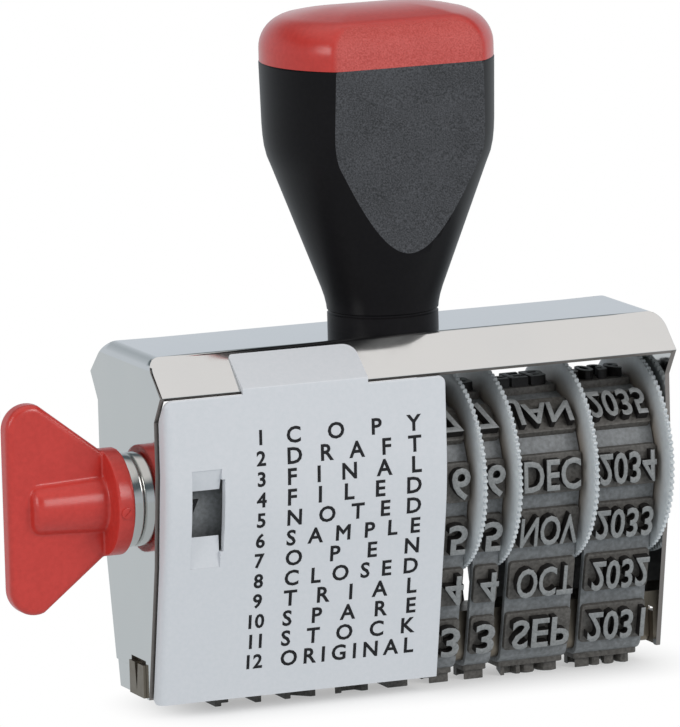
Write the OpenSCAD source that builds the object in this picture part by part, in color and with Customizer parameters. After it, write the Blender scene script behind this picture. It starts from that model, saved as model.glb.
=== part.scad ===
// Date stamp with a dial of phrases and four date bands, standing on its type.
// X runs along the frame with the wing knob at -X, the front is -Y, and Z is up.
// The origin lies on the printing plane, under the handle's axis.

/* [Frame] */
// Length of the frame over its end plates
frame_l = 68.4; // [64:0.2:76]
// Height of the frame from the foot of its plates to its top
frame_h = 42.6; // [41:0.2:48]
// Depth of the frame over the lower edges of its flanges
frame_d = 23.6; // [23.2:0.2:28]
// Depth of the flat top between the two flanges
top_d = 14.1; // [13.8:0.1:16]
// Height that the sloping flanges drop
flange_h = 4.3; // [3.5:0.1:5.5]
// Thickness of the sheet steel
sheet_t = 0.6; // [0.5:0.1:1]
// Outer radius of the bends between the top and the end plates
bend_r = 1.8; // [1.2:0.1:4]
// Width of the open seams where the flanges meet the plate at the knob
seam_w = 0.3; // [0.1:0.05:0.4]
// Width of the end plates below the flanges
plate_d = 19; // [17:0.2:21]
// Width of the end plates at the knee of their taper
knee_d = 16.6; // [15:0.2:18]
// Height above the foot where the end plates start to taper
waist_h = 28.5; // [24:0.5:32]
// Height above the foot of the knee in the taper
knee_h = 17; // [13:0.5:21]
// Width of the end plates at the foot
foot_d = 10.2; // [9.4:0.2:13]
// Drop from the top to the straight part of the end plates
shoulder_drop = 7.6; // [6:0.2:9]
// Height of the foot above the printing plane
foot_gap = 2.4; // [2.2:0.1:3.5]

/* [Platen] */
// Width of the platen rail
rail_d = 6; // [5:0.2:7]
// Height of the platen rail
rail_h = 6.4; // [4:0.2:7.4]
// Radius of the rail's lower edges
rail_r = 1.2; // [0.8:0.1:1.6]
// Gap between the rail and the belts that slide round it
rail_gap = 0.02; // [0.01:0.01:0.05]
// Width of the staked end tabs
tab_d = 4.7; // [3:0.1:5]
// Height of the staked end tabs
tab_h = 4.2; // [3:0.1:4.4]
// Distance of the end tabs in front of the middle
tab_front = 1.9; // [0:0.1:2.2]
// Reach of the staked ends past the plates
tab_reach = 0.35; // [0.2:0.05:0.6]
// Height of the plates' slots above the tabs
slot_rise = 0.5; // [0.1:0.1:0.8]

/* [Wheels] */
// Height of the wheel axis above the printing plane
axis_h = 26.5; // [25:0.1:28]
// Radius over the teeth of the thumbwheel rims
rim_r = 12.9; // [11.5:0.1:13.4]
// Thickness of the rims
rim_t = 0.8; // [0.6:0.1:1.6]
// Number of teeth on a rim
rim_teeth = 96; // [60:2:120]
// Depth of the rim teeth
tooth_h = 0.4; // [0.2:0.05:0.6]
// Radius of the drums that the bands run on
drum_r = 8.2; // [7:0.1:8.4]
// Wall of the drums
drum_wall = 1.4; // [1:0.1:2]
// Radius of the wheel hubs
hub_r = 3.2; // [2.6:0.1:4]
// Radius of the steel axle
axle_r = 1.5; // [1:0.1:2]
// Running clearance of the wheels on the axle
run_fit = 0.05; // [0.02:0.01:0.08]
// Side gap between neighbouring wheels
wheel_gap = 0.1; // [0.05:0.05:0.3]

/* [Bands] */
// Width of the two day bands
day_w = 3.4; // [2.4:0.1:4]
// Width of the month band
month_w = 9; // [7:0.1:10]
// Width of the year band
year_w = 8.8; // [7:0.1:10]
// Thickness of the rubber belts
belt_t = 0.7; // [0.5:0.1:0.9]
// Height of the pads on the belts
pad_h = 0.6; // [0.4:0.1:0.8]
// Length of a pad along the belt
pad_l = 5; // [4.4:0.1:5.4]
// Step of the pads inside the belt's edges
pad_step = 0.1; // [0.05:0.05:0.2]
// Height of the type on the pads
type_h = 1.2; // [0.8:0.1:1.4]
// Length of the type along the belt
type_l = 4; // [3:0.1:4.4]
// Margin of bare pad at each end of the type
type_margin = 0.3; // [0.2:0.05:0.5]
// Number of pads on a belt
pad_count = 12; // [10:1:12]
// Clearance between a belt and its drum
belt_fit = 0.15; // [0.1:0.05:0.3]
// Clearance between a belt's edge and the rims beside it
edge_gap = 0.2; // [0.15:0.05:0.4]
// Bare margin at the left of the phrase belt, for its index numbers
index_w = 7.4; // [5:0.1:9]

/* [Cover] */
// Gap between the cover and the first thumbwheel
cover_clear = 0.5; // [0.3:0.1:1]
// Distance of the cover's face in front of the flange's edge
cover_proud = 0.5; // [0.4:0.1:1.2]
// Gap between the cover's upper edge and the flange
cover_gap = 0.3; // [0.1:0.05:0.5]
// Wall of the cover
cover_wall = 1; // [0.8:0.1:1.3]
// Height above the wheel axis where the cover's face starts to curve back
cover_curve_rise = 4.9; // [3:0.1:7]
// Radius of the curve in the cover's face
cover_curve_r = 43; // [30:1:60]
// Lean of the cover's lower face in degrees
cover_lean = 11.3; // [9:0.1:12]
// Height of the cover's lower edge above the printing plane
cover_foot = 2; // [1.6:0.1:3]
// Radius of the cover's upper corners
cover_corner = 1.6; // [1:0.1:2.5]
// Step of the cover's left edge inside the frame's end
cover_inset = 0.45; // [0.1:0.05:0.6]
// Length of the tab over the front flange
hook_l = 16.4; // [12:0.2:20]
// Distance from the cover's left edge to the tab
hook_left = 10.3; // [8:0.1:14]
// Thickness of the tab at its upper end
hook_t = 0.35; // [0.25:0.05:0.6]
// Distance of the tab's upper end from the flange's bend
hook_short = 0.8; // [0.4:0.1:2]
// Distance from the cover's left edge to the sight window
window_left = 3.4; // [2.5:0.1:5]
// Width of the sight window
window_w = 4.3; // [3:0.1:5]
// Height of the sight window's opening
window_h = 5.8; // [4:0.1:7]
// Height of the sloping sill above the opening
sill_h = 2.6; // [1.5:0.1:3.5]
// Height of the sloping sill below the opening
low_sill_h = 3.9; // [2:0.1:5]
// Width of the slit beside the sills
slit_w = 0.4; // [0.2:0.1:0.8]
// Distance of the sight window below the wheel axis
window_drop = 0.5; // [0:0.1:1]

/* [Knob] */
// Radius of the knob's collar
collar_r = 6.6; // [6.2:0.1:7.4]
// Thickness of the knob's collar
collar_t = 2.1; // [1.6:0.1:3]
// Length of the knob from its collar's face to its outer edge
knob_l = 14.4; // [12:0.1:17]
// Span of the wing from tip to tip
wing_span = 26; // [20:0.2:30]
// Thickness of the wing
wing_t = 3; // [2:0.1:4]
// Radius of the wing's corners
wing_r = 3.2; // [2:0.1:4]
// Radius of the boss at the collar
boss_r = 3.7; // [3:0.05:4]
// Radius of the boss at its tip
boss_tip_r = 3.4; // [2.8:0.05:3.6]
// Length of the boss beyond the collar
boss_l = 9.6; // [7:0.1:11]
// Outer radius of the steel bush
bush_r = 6; // [5.2:0.1:6.2]
// Length of the bush outside the plate
bush_l = 1.45; // [1:0.05:3]
// Radius of the bush neck that passes through the plate
neck_r = 4.7; // [4.4:0.1:5]
// Thickness of the bush's swaged flange inside the plate
swage_t = 0.6; // [0.4:0.1:0.8]
// Gap between the bush and the knob's collar
collar_gap = 0.15; // [0.1:0.05:0.4]
// Radius of the knob spindle
spindle_r = 3.9; // [3.6:0.1:4.1]
// Radius of the spindle's end inside the knob
stub_r = 2.2; // [1.8:0.1:2.4]
// Length of the spindle's end inside the knob
stub_l = 7; // [5:0.2:9]
// Length of the spindle inside the drum
spindle_grip = 12; // [8:0.5:16]
// Solid length at the closed end of the spindle, inside the drum
spindle_end = 2; // [1:0.2:4]
// Gap between the axle's tip and the spindle's closed end
tip_gap = 1; // [0.4:0.1:2]
// Clearance of pieces that are fixed together
seat_fit = 0.02; // [0.01:0.01:0.05]

/* [Handle] */
// Height of the handle above the frame
handle_h = 40; // [34:0.5:46]
// Radius of the handle's neck
neck_handle_r = 6.85; // [6:0.05:7]
// Height of the handle's neck
neck_handle_h = 2.2; // [1.5:0.1:4]
// Radius of the grip where its cone ends
grip_r = 14.1; // [12:0.1:15]
// Radius of the grip at the cap's seam
grip_top_r = 14.45; // [12.5:0.05:16]
// Height above the frame where the grip's cone ends
cone_h = 22.6; // [18:0.2:26]
// Height of the soft shoulder between the cone and the straight grip
soft_h = 4; // [2:0.2:6]
// Height above the frame of the seam between grip and cap
seam_h = 33.4; // [28:0.2:36]
// Radius of the cap's upper edge
cap_edge_r = 4.2; // [2:0.1:5]
// Rise of the cap's crown
cap_crown = 0.9; // [0.4:0.1:1.6]
// Distance of the flat facets from the middle at the seam
facet_y = 10.7; // [10:0.1:12]
// Lean of the facets in degrees
facet_lean = 3; // [1:0.1:4]
// Radius of the cap's spigot in the grip
spigot_r = 8; // [6:0.1:8.6]
// Length of the cap's spigot
spigot_l = 5; // [3:0.2:8]
// Depth of the hollow in the grip
hollow_h = 11; // [9:0.2:13]
// Radius of the handle screw
screw_r = 1.9; // [1.5:0.1:2.2]
// Length of the screw inside the grip
screw_l = 14; // [8:0.5:18]
// Radius of the screw's head
head_r = 3.4; // [3:0.1:4]
// Height of the screw's head
head_h = 1.7; // [1.4:0.1:2.2]
// Radius of the washer under the head
washer_r = 5; // [4:0.1:6]
// Thickness of the washer
washer_t = 0.6; // [0.4:0.1:0.8]

/* [Hidden] */
$fn = 64;
// Overlap of joined shapes, and reach of a cut past a face
lap = 0.3;
past = 1;

// Frame levels, and the outlines of its sheet
top_z = foot_gap + frame_h;
flange_z = top_z - flange_h;
shoulder_z = top_z - shoulder_drop;
waist_z = foot_gap + waist_h;
knee_z = foot_gap + knee_h;
half_l = frame_l/2;
inside_x = half_l - sheet_t;
flange_run = (frame_d - top_d)/2;
flange_slope = norm([flange_run, flange_h]);
flange_shift = sheet_t*flange_slope/flange_h;
outline_half = [
    [top_d/2, top_z], [frame_d/2, flange_z], [plate_d/2, shoulder_z], [plate_d/2, waist_z],
    [knee_d/2, knee_z], [foot_d/2, foot_gap]
];
seam_in = 0.3;
notch_fit = 0.05;
coin_depth = 0.12;
coin_h = 3.4;

// Wheel stack along the axis, from the right plate leftwards
end_gap = 0.4;
function wheel_len(w) = w + 2*edge_gap + rim_t;
year_x = inside_x - end_gap - wheel_len(year_w);
month_x = year_x - wheel_gap - wheel_len(month_w);
day_units_x = month_x - wheel_gap - wheel_len(day_w);
day_tens_x = day_units_x - wheel_gap - wheel_len(day_w);

// Cover ends, and the phrase drum between the bush and the first wheel
cover_x = -half_l + cover_inset;
cover_right = day_tens_x - cover_clear;
cover_l = cover_right - cover_x;
cover_front = frame_d/2 + cover_proud;
drum_x = -inside_x + swage_t + end_gap;
drum_right = day_tens_x - 2*edge_gap;
phrase_x = drum_x + edge_gap;
phrase_right = cover_right - cover_wall - edge_gap;
phrase_w = phrase_right - phrase_x;

// Band loop: a drum circle, and a rail with two small corner circles
print_h = belt_t + pad_h + type_h;
loop_r = drum_r + belt_fit;
rail_z = print_h + rail_gap;
corner_y = rail_d/2 - rail_r;
corner_z = rail_z + rail_r;
turn_r = rail_r + rail_gap;
tab_low = max(foot_gap, rail_z);
tab_high = foot_gap + tab_h;
pitch_grow = belt_t/2;
center_d = norm([corner_y, axis_h - corner_z]);
lean = asin((loop_r - turn_r)/center_d) - atan2(corner_y, axis_h - corner_z);
run_l = sqrt(pow(center_d, 2) - pow(loop_r - turn_r, 2));
corner_arc = (turn_r + pitch_grow)*(90 - lean)*PI/180;
drum_arc = (loop_r + pitch_grow)*(90 + lean)*PI/180;
half_loop = corner_y + corner_arc + run_l + drum_arc;
pad_pitch = 2*half_loop/pad_count;

// A point at a distance and angle from a centre
function around(c, r, a) = c + r*[cos(a), sin(a)];

// Place and outward angle on the pitch line, at a distance s forwards from the middle of the rail
function front_place(s) =
    s < corner_y ? [[-s, print_h - pitch_grow], 270] :
    s < corner_y + corner_arc ? let (a = 270 - (s - corner_y)/(turn_r + pitch_grow)*180/PI)
        [around([-corner_y, corner_z], turn_r + pitch_grow, a), a] :
    s < corner_y + corner_arc + run_l ? let (a = 180 + lean, d = s - corner_y - corner_arc)
        [around([-corner_y, corner_z], turn_r + pitch_grow, a) + d*[-sin(lean), cos(lean)], a] :
    let (a = 180 + lean - (s - corner_y - corner_arc - run_l)/(loop_r + pitch_grow)*180/PI)
        [around([0, axis_h], loop_r + pitch_grow, a), a];
function place(s) = s >= 0 ? front_place(s) :
    let (p = front_place(-s)) [[-p[0].x, p[0].y], 180 - p[1]];

// Cover face: straight, a curve, then a leaning straight
cover_top = flange_z - cover_gap;
curve_z = axis_h + cover_curve_rise;
lean_y = cover_front - cover_curve_r*(1 - cos(cover_lean));
lean_z = curve_z - cover_curve_r*sin(cover_lean);
function cover_face(inset) = concat(
    [[-cover_front + inset, cover_top]],
    [for (i = [0:8]) let (a = cover_lean*i/8, r = cover_curve_r - inset)
        [-cover_front + cover_curve_r - r*cos(a), curve_z - r*sin(a)]],
    [[-lean_y + inset*cos(cover_lean) + (lean_z - cover_foot - inset*sin(cover_lean))*tan(cover_lean),
        cover_foot]]
);
// Y of the cover's face at a height
function face_y(z) =
    z > curve_z ? -cover_front :
    z > lean_z ? -cover_front + cover_curve_r - sqrt(pow(cover_curve_r, 2) - pow(curve_z - z, 2)) :
    -lean_y + (lean_z - z)*tan(cover_lean);
function reversed(list) = [for (i = [len(list) - 1:-1:0]) list[i]];
lug_gap = 0.1;
wall_gap = 0.35;
lug_reach = 2.5;
lug_drop = 3.6;
lug_margin = 2;
rib_reach = 2.2;

// Knob places along X
bush_x = -half_l - bush_l;
collar_x = bush_x - collar_gap;
wing_x = collar_x - knob_l;
wing_root = collar_x - collar_t + lap;

// Draw a YZ outline along X, or an XZ outline along Y
module along_x(x, l) {
    translate([x, 0, 0])
        rotate([90, 0, 90])
            linear_extrude(l)
                children();
}
module along_y(y, l) {
    translate([0, y + l, 0])
        rotate([90, 0, 0])
            linear_extrude(l)
                children();
}
// A round bar along X, centred on the wheel axis
module bar(x, l, r) {
    translate([x, 0, axis_h])
        rotate([0, 90, 0])
            cylinder(r = r, h = l);
}

// Frame
module arch(l, h, r) {
    translate([-l/2, 0])
        square([l, h - r]);
    translate([-l/2 + r, 0])
        square([l - 2*r, h]);
    for (side = [-1, 1])
        translate([side*(l/2 - r), h - r])
            circle(r);
}
module sheet_arch(inset) {
    arch(frame_l - 2*inset, top_z - inset, bend_r - inset);
}
module both_sides(points) {
    polygon(concat(points, [for (p = reversed(points)) [-p.x, p.y]]));
}
module frame_void() {
    intersection() {
        along_y(-frame_d, 2*frame_d)
            sheet_arch(sheet_t);
        along_x(-half_l, frame_l)
            both_sides([
                [top_d/2 + sheet_t*flange_run/flange_h - flange_shift, top_z - sheet_t],
                [frame_d/2 - flange_shift, flange_z],
                [frame_d, flange_z],
                [frame_d, 0]
            ]);
    }
}
module flange_seams() {
    for (y = [-frame_d, top_d/2 + lap])
        intersection() {
            along_y(y, frame_d - top_d/2 - lap)
                difference() {
                    sheet_arch(seam_in);
                    sheet_arch(seam_in + seam_w);
                }
            translate([-half_l - lap, -frame_d, flange_z - past])
                cube([bend_r, 2*frame_d, flange_h + 2*past]);
        }
}
module foot_notches() {
    for (side = [-1, 1]) {
        translate([side*(half_l - sheet_t/2) - past, -tab_front - tab_d/2 - notch_fit, foot_gap - past])
            cube([2*past, tab_d + 2*notch_fit, tab_h + slot_rise + past]);
        translate([side*half_l - coin_depth, tab_d/2 - tab_front, foot_gap - past])
            cube([2*coin_depth, foot_d, coin_h + past]);
    }
}
module frame_shell() {
    color("silver")
        difference() {
            intersection() {
                along_x(-half_l, frame_l)
                    both_sides(outline_half);
                along_y(-frame_d, 2*frame_d)
                    sheet_arch(0);
            }
            frame_void();
            flange_seams();
            foot_notches();
            bar(-half_l - past, sheet_t + 2*past, neck_r + seat_fit);
            bar(inside_x - past, sheet_t + 2*past, axle_r + seat_fit);
            translate([0, 0, top_z - sheet_t - past])
                cylinder(r = screw_r + seat_fit, h = sheet_t + 2*past);
        }
}

// Platen rail, with its end tabs split by a wedge
module rail_section() {
    translate([-rail_d/2, corner_z])
        square([rail_d, rail_h - rail_r]);
    translate([-corner_y, rail_z])
        square([2*corner_y, rail_h]);
    for (side = [-1, 1])
        translate([side*corner_y, corner_z])
            circle(rail_r);
}
module platen_rail() {
    split_w = 0.7;
    split_depth = 0.6;
    color("lightgray")
        difference() {
            union() {
                along_x(-inside_x, 2*inside_x)
                    rail_section();
                translate([-half_l - tab_reach, -corner_y, tab_low])
                    cube([frame_l + 2*tab_reach, corner_y - tab_front + tab_d/2, tab_high - tab_low]);
                for (x = [-half_l - tab_reach, inside_x + notch_fit])
                    translate([x, -tab_front - tab_d/2, tab_low])
                        cube([sheet_t + tab_reach - notch_fit, tab_d, tab_high - tab_low]);
            }
            for (side = [-1, 1])
                along_x(side*(half_l + tab_reach) - split_depth, 2*split_depth)
                    polygon([
                        [-tab_front - split_w, tab_high + past],
                        [-tab_front + split_w, tab_high + past],
                        [-tab_front, tab_low + split_w]
                    ]);
        }
}

// Handle
grip_outline = [
    [0, 0], [neck_handle_r, 0], [neck_handle_r, neck_handle_h], [grip_r, cone_h],
    [grip_top_r, cone_h + soft_h], [grip_top_r, seam_h], [0, seam_h]
];
module facet_cuts() {
    for (side = [-1, 1])
        translate([0, side*facet_y, top_z + seam_h])
            rotate([side*-facet_lean, 0, 0])
                translate([-grip_top_r*2, side > 0 ? 0 : -grip_top_r, -seam_h])
                    cube([grip_top_r*4, grip_top_r, 2*seam_h]);
}
module handle_grip() {
    color("black")
        difference() {
            translate([0, 0, top_z])
                rotate_extrude()
                    polygon(grip_outline);
            facet_cuts();
            translate([0, 0, top_z + seam_h - hollow_h])
                cylinder(r = spigot_r + seat_fit, h = hollow_h + past);
            translate([0, 0, top_z - past])
                cylinder(r = screw_r + seat_fit, h = screw_l + 2*past);
        }
}
cap_h = handle_h - seam_h;
cap_side_h = cap_h - cap_crown - cap_edge_r;
cap_outline = concat(
    [[0, 0], [grip_top_r, 0]],
    [for (a = [0:10:80]) [grip_top_r - cap_edge_r, cap_side_h] + cap_edge_r*[cos(a), sin(a)]],
    [[0, cap_h]]
);
module handle_cap() {
    color("firebrick")
        difference() {
            translate([0, 0, top_z + seam_h])
                rotate_extrude()
                    polygon(cap_outline);
            facet_cuts();
        }
    color("firebrick")
        translate([0, 0, top_z + seam_h - spigot_l])
            cylinder(r = spigot_r, h = spigot_l + lap);
}
module handle_screw() {
    color("gray")
        translate([0, 0, top_z - sheet_t - washer_t - head_h]) {
            cylinder(r = head_r, h = head_h);
            cylinder(r = screw_r, h = head_h + washer_t + sheet_t + screw_l);
        }
}
module handle_washer() {
    color("gainsboro")
        translate([0, 0, top_z - sheet_t - washer_t])
            difference() {
                cylinder(r = washer_r, h = washer_t);
                translate([0, 0, -past])
                    cylinder(r = screw_r + seat_fit, h = washer_t + 2*past);
            }
}

// Phrase cover
module cover_shell() {
    along_x(cover_x, cover_l)
        polygon(concat(cover_face(0), reversed(cover_face(cover_wall))));
}
// The hook lies on the front flange, and a lug behind the flange grips it
flange_dir = [flange_run, flange_h]/flange_slope;
flange_out = [-flange_dir.y, flange_dir.x];
flange_foot = [-frame_d/2, flange_z];
module cover_hook() {
    hook_reach = flange_slope - hook_short;
    along_x(cover_x + hook_left, hook_l)
        polygon([
            [-cover_front, cover_top - lap],
            [-cover_front, flange_z + (cover_front - frame_d/2)],
            flange_foot + hook_reach*flange_dir + hook_t*flange_out,
            flange_foot + hook_reach*flange_dir + seat_fit*flange_out,
            flange_foot + seat_fit*flange_out,
            [-frame_d/2 - seat_fit, cover_top - lap]
        ]);
    lug_foot = flange_foot - (sheet_t + lug_gap)*flange_out;
    along_x(cover_x + hook_left + lug_margin, hook_l - 2*lug_margin)
        polygon([
            [-cover_front + cover_wall - lap, cover_top - cover_wall],
            lug_foot,
            lug_foot + lug_reach*flange_dir,
            lug_foot + lug_reach*flange_dir - sheet_t*flange_out,
            [-cover_front + cover_wall - lap, cover_top - lug_drop]
        ]);
}
// Side walls: the left one stands on the plate's front edge, with a rib inside the plate
module cover_walls() {
    wall_back = [
        for (p = outline_half)
            if (p.y <= flange_z) [-p.x - wall_gap, min(p.y, cover_top)]
    ];
    rib_back = [for (p = wall_back) if (p.y <= shoulder_z) p + [rib_reach, 0]];
    for (x = [cover_x, cover_right - cover_wall])
        along_x(x, cover_wall)
            polygon(concat(reversed(cover_face(0)), wall_back));
    along_x(-inside_x + lug_gap, cover_x + cover_wall + inside_x - lug_gap)
        polygon(concat(reversed(cover_face(cover_wall/2)), rib_back));
}
// Room for the wide top of the left end plate behind the cover's face
module plate_room() {
    along_x(-half_l, sheet_t + lug_gap/2)
        translate([-lug_gap/2, 0])
            both_sides(outline_half);
}
// The sight window has a sloping sill above and below, and a slit beside the sills
module sight_window() {
    window_x = cover_x + window_left;
    mid_z = axis_h - window_drop;
    sill_w = window_w - slit_w;
    upper = mid_z + window_h/2;
    lower = mid_z - window_h/2;
    inner = 2*cover_wall;
    along_x(window_x, sill_w)
        polygon([
            [face_y(upper + sill_h) - past, upper + sill_h],
            [face_y(upper + sill_h), upper + sill_h],
            [face_y(upper) + cover_wall, upper],
            [face_y(upper) + inner, upper],
            [face_y(lower) + inner, lower],
            [face_y(lower) + cover_wall, lower],
            [face_y(lower - low_sill_h), lower - low_sill_h],
            [face_y(lower - low_sill_h) - past, lower - low_sill_h]
        ]);
    translate([window_x, -cover_front - past, lower - low_sill_h/2])
        cube([window_w, inner + 2*past, window_h + sill_h/2 + low_sill_h/2]);
}
module phrase_cover() {
    color("whitesmoke")
        difference() {
            intersection() {
                union() {
                    cover_shell();
                    cover_walls();
                }
                along_y(-frame_d, frame_d)
                    translate([cover_x + cover_l/2, 0])
                        arch(cover_l, cover_top, cover_corner);
            }
            sight_window();
            plate_room();
        }
    color("whitesmoke")
        cover_hook();
}

// Knob
module wing_outline() {
    tip = [wing_x + wing_r, wing_span/2 - wing_r];
    root = [wing_root, collar_r - lap];
    slope = atan2(root.y - tip.y, root.x - tip.x);
    shoulder = around(tip, wing_r, slope + 90);
    polygon([
        root, shoulder, tip, [wing_x, tip.y], [wing_x, -tip.y], [tip.x, -tip.y],
        [shoulder.x, -shoulder.y], [root.x, -root.y]
    ]);
    for (side = [-1, 1])
        translate([tip.x, side*tip.y])
            circle(wing_r);
}
module knob_boss() {
    round_r = 1.2;
    boss_x = collar_x - collar_t + lap;
    boss_end = boss_l + lap;
    translate([boss_x, 0, axis_h])
        rotate([0, -90, 0])
            rotate_extrude()
                polygon(concat(
                    [[0, 0], [boss_r, 0]],
                    [for (a = [0:15:90]) [boss_tip_r - round_r, boss_end - round_r] + round_r*[cos(a), sin(a)]],
                    [[0, boss_end]]
                ));
}
module wing_knob() {
    color("firebrick")
        difference() {
            union() {
                bar(collar_x - collar_t, collar_t, collar_r);
                knob_boss();
                translate([0, 0, axis_h])
                    along_y(-wing_t/2, wing_t)
                        wing_outline();
            }
            bar(collar_x - stub_l, stub_l + past, stub_r + seat_fit);
        }
}
module knob_bush() {
    color("silver")
        difference() {
            union() {
                bar(bush_x, bush_l, bush_r);
                bar(-half_l - lap, sheet_t + 2*lap, neck_r);
                bar(-inside_x, swage_t, bush_r);
            }
            bar(bush_x - past, bush_l + sheet_t + swage_t + 2*past, spindle_r + run_fit);
        }
}
module knob_spindle() {
    bearing_l = spindle_grip - spindle_end;
    color("darkgray")
        difference() {
            union() {
                bar(collar_x - stub_l, stub_l + lap, stub_r);
                bar(collar_x, drum_x + spindle_grip - collar_x, spindle_r);
            }
            bar(drum_x + spindle_grip - bearing_l, bearing_l + past, axle_r + run_fit);
        }
}
module phrase_drum() {
    drum_l = drum_right - drum_x;
    web_t = 2.4;
    color("white")
        difference() {
            bar(drum_x, drum_l, drum_r);
            difference() {
                bar(drum_x + web_t, drum_l - 2*web_t, drum_r - drum_wall);
                bar(drum_x, spindle_grip, spindle_r + drum_wall);
            }
            bar(drum_x - past, spindle_grip + past, spindle_r + seat_fit);
            bar(drum_x, drum_l + past, axle_r + run_fit);
        }
}
module axle() {
    head_t = 0.6;
    axle_x = drum_x + spindle_end + tip_gap;
    color("gray") {
        bar(axle_x, half_l + lap - axle_x, axle_r);
        bar(half_l, head_t, axle_r + head_t);
    }
}

// Thumbwheel: a drum on its hub, and a toothed rim at its right end
module toothed_disc(r) {
    polygon([
        for (i = [0:2*rim_teeth - 1])
            let (a = 180*i/rim_teeth)
                (r - (i % 2)*tooth_h)*[cos(a), sin(a)]
    ]);
}
module thumbwheel(x, band_w) {
    len = wheel_len(band_w);
    color("white")
        difference() {
            union() {
                bar(x, len, drum_r);
                translate([x + len - rim_t, 0, axis_h])
                    rotate([90, 0, 90])
                        linear_extrude(rim_t)
                            toothed_disc(rim_r);
            }
            difference() {
                bar(x - past, len - rim_t + past, drum_r - drum_wall);
                bar(x, len, hub_r);
            }
            bar(x - past, len + 2*past, axle_r + run_fit);
        }
}
module day_tens_wheel() { thumbwheel(day_tens_x, day_w); }
module day_units_wheel() { thumbwheel(day_units_x, day_w); }
module month_wheel() { thumbwheel(month_x, month_w); }
module year_wheel() { thumbwheel(year_x, year_w); }

// Type band: a belt round the drum and the rail, with pads and type around it
module loop_shape(grow) {
    corner_steps = 6;
    drum_steps = 24;
    both_sides(concat(
        [for (i = [0:corner_steps])
            around([-corner_y, corner_z], turn_r + grow, 270 - (90 - lean)*i/corner_steps)],
        [for (i = [0:drum_steps])
            around([0, axis_h], loop_r + grow, 180 + lean - (90 + lean)*i/(drum_steps + 0.5))]
    ));
}
module blocks(x, w, l, h) {
    for (i = [0:pad_count - 1])
        let (s = i*pad_pitch, p = place(s > half_loop ? s - 2*half_loop : s))
            translate([x, p[0].x, p[0].y])
                rotate([p[1] - 90, 0, 0])
                    translate([0, -l/2, 0])
                        cube([w, l, h]);
}
module type_band(x, w, left) {
    type_reach = belt_t - pitch_grow + pad_h;
    color("dimgray")
        difference() {
            union() {
                along_x(x, w)
                    loop_shape(belt_t);
                blocks(x + left + pad_step, w - left - 2*pad_step, pad_l, type_reach);
                blocks(x + left + type_margin, w - left - 2*type_margin, type_l, type_reach + type_h);
            }
            along_x(x - past, w + 2*past)
                loop_shape(0);
        }
}
module phrase_band() { type_band(phrase_x, phrase_w, index_w); }
module day_tens_band() { type_band(day_tens_x + edge_gap, day_w, 0); }
module day_units_band() { type_band(day_units_x + edge_gap, day_w, 0); }
module month_band() { type_band(month_x + edge_gap, month_w, 0); }
module year_band() { type_band(year_x + edge_gap, year_w, 0); }

frame_shell();
platen_rail();
handle_grip();
handle_cap();
handle_screw();
handle_washer();
phrase_cover();
wing_knob();
knob_bush();
knob_spindle();
phrase_drum();
phrase_band();
axle();
day_tens_wheel();
day_units_wheel();
month_wheel();
year_wheel();
day_tens_band();
day_units_band();
month_band();
year_band();
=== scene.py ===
# %% [markdown]
# A date stamp, dressed for its picture.
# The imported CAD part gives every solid, its place and its joints, and it stays as it is. This script
# builds the surfaces that the eye meets around it: bent steel, a moulded grip, a printed cover, toothed
# wheels and rubber type. All places below are in millimetres, in the CAD part's own frame.

import math

import bpy
from mathutils import Matrix, Vector


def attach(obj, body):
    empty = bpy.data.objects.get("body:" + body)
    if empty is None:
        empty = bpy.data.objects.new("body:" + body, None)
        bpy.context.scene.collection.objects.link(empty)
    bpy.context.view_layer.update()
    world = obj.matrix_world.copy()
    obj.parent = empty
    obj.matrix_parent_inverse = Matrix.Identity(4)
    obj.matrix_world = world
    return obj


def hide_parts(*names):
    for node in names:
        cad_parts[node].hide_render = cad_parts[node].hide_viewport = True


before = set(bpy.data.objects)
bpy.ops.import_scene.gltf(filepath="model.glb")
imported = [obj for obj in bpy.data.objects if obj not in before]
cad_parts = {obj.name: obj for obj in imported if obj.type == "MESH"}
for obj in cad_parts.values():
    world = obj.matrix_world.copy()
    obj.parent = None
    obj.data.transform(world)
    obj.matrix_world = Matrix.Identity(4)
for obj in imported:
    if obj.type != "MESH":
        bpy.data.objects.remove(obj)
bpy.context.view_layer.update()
MM = 0.001

# %% [markdown]
# The camera comes first, so that every later piece can be judged from the photograph's angle. The stamp
# was taken from far away with a long lens, a little from the left and from above, so its edges converge
# only slightly. The view direction is built from two angles, and the picture is then rolled a little.

# %% Camera at the photograph's angle
AZIMUTH, ELEVATION, ROLL = (math.radians(a) for a in (-22.217, 9.613, 1.518))
TARGET = Vector((-4.405, 3.545, 40.154)) * MM
DISTANCE = 1102.2 * MM
IMAGE_W = 680
PX_PER_MM = 8.112
SENSOR_W = 36.0
SIGHT_END = 20000

back = Vector((
    math.sin(AZIMUTH) * math.cos(ELEVATION),
    -math.cos(AZIMUTH) * math.cos(ELEVATION),
    math.sin(ELEVATION),
))
right = Vector((0, 0, 1)).cross(back).normalized()
up = back.cross(right)
camera_x = right * math.cos(ROLL) - up * math.sin(ROLL)
camera_y = up * math.cos(ROLL) + right * math.sin(ROLL)
bpy.ops.object.select_all(action="DESELECT")
bpy.ops.object.camera_add()
camera = bpy.context.object
camera.name = "photo_camera"
camera.data.sensor_fit = "HORIZONTAL"
camera.data.sensor_width = SENSOR_W
camera.data.lens = SENSOR_W * PX_PER_MM * DISTANCE / MM / IMAGE_W
camera.data.clip_end = SIGHT_END * MM
turn = Matrix((camera_x, camera_y, back)).transposed().to_4x4()
camera.matrix_world = Matrix.Translation(TARGET + back * DISTANCE) @ turn
bpy.context.scene.camera = camera
print("camera at", [round(v, 3) for v in camera.location], "lens", round(camera.data.lens, 1), "mm")

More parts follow.
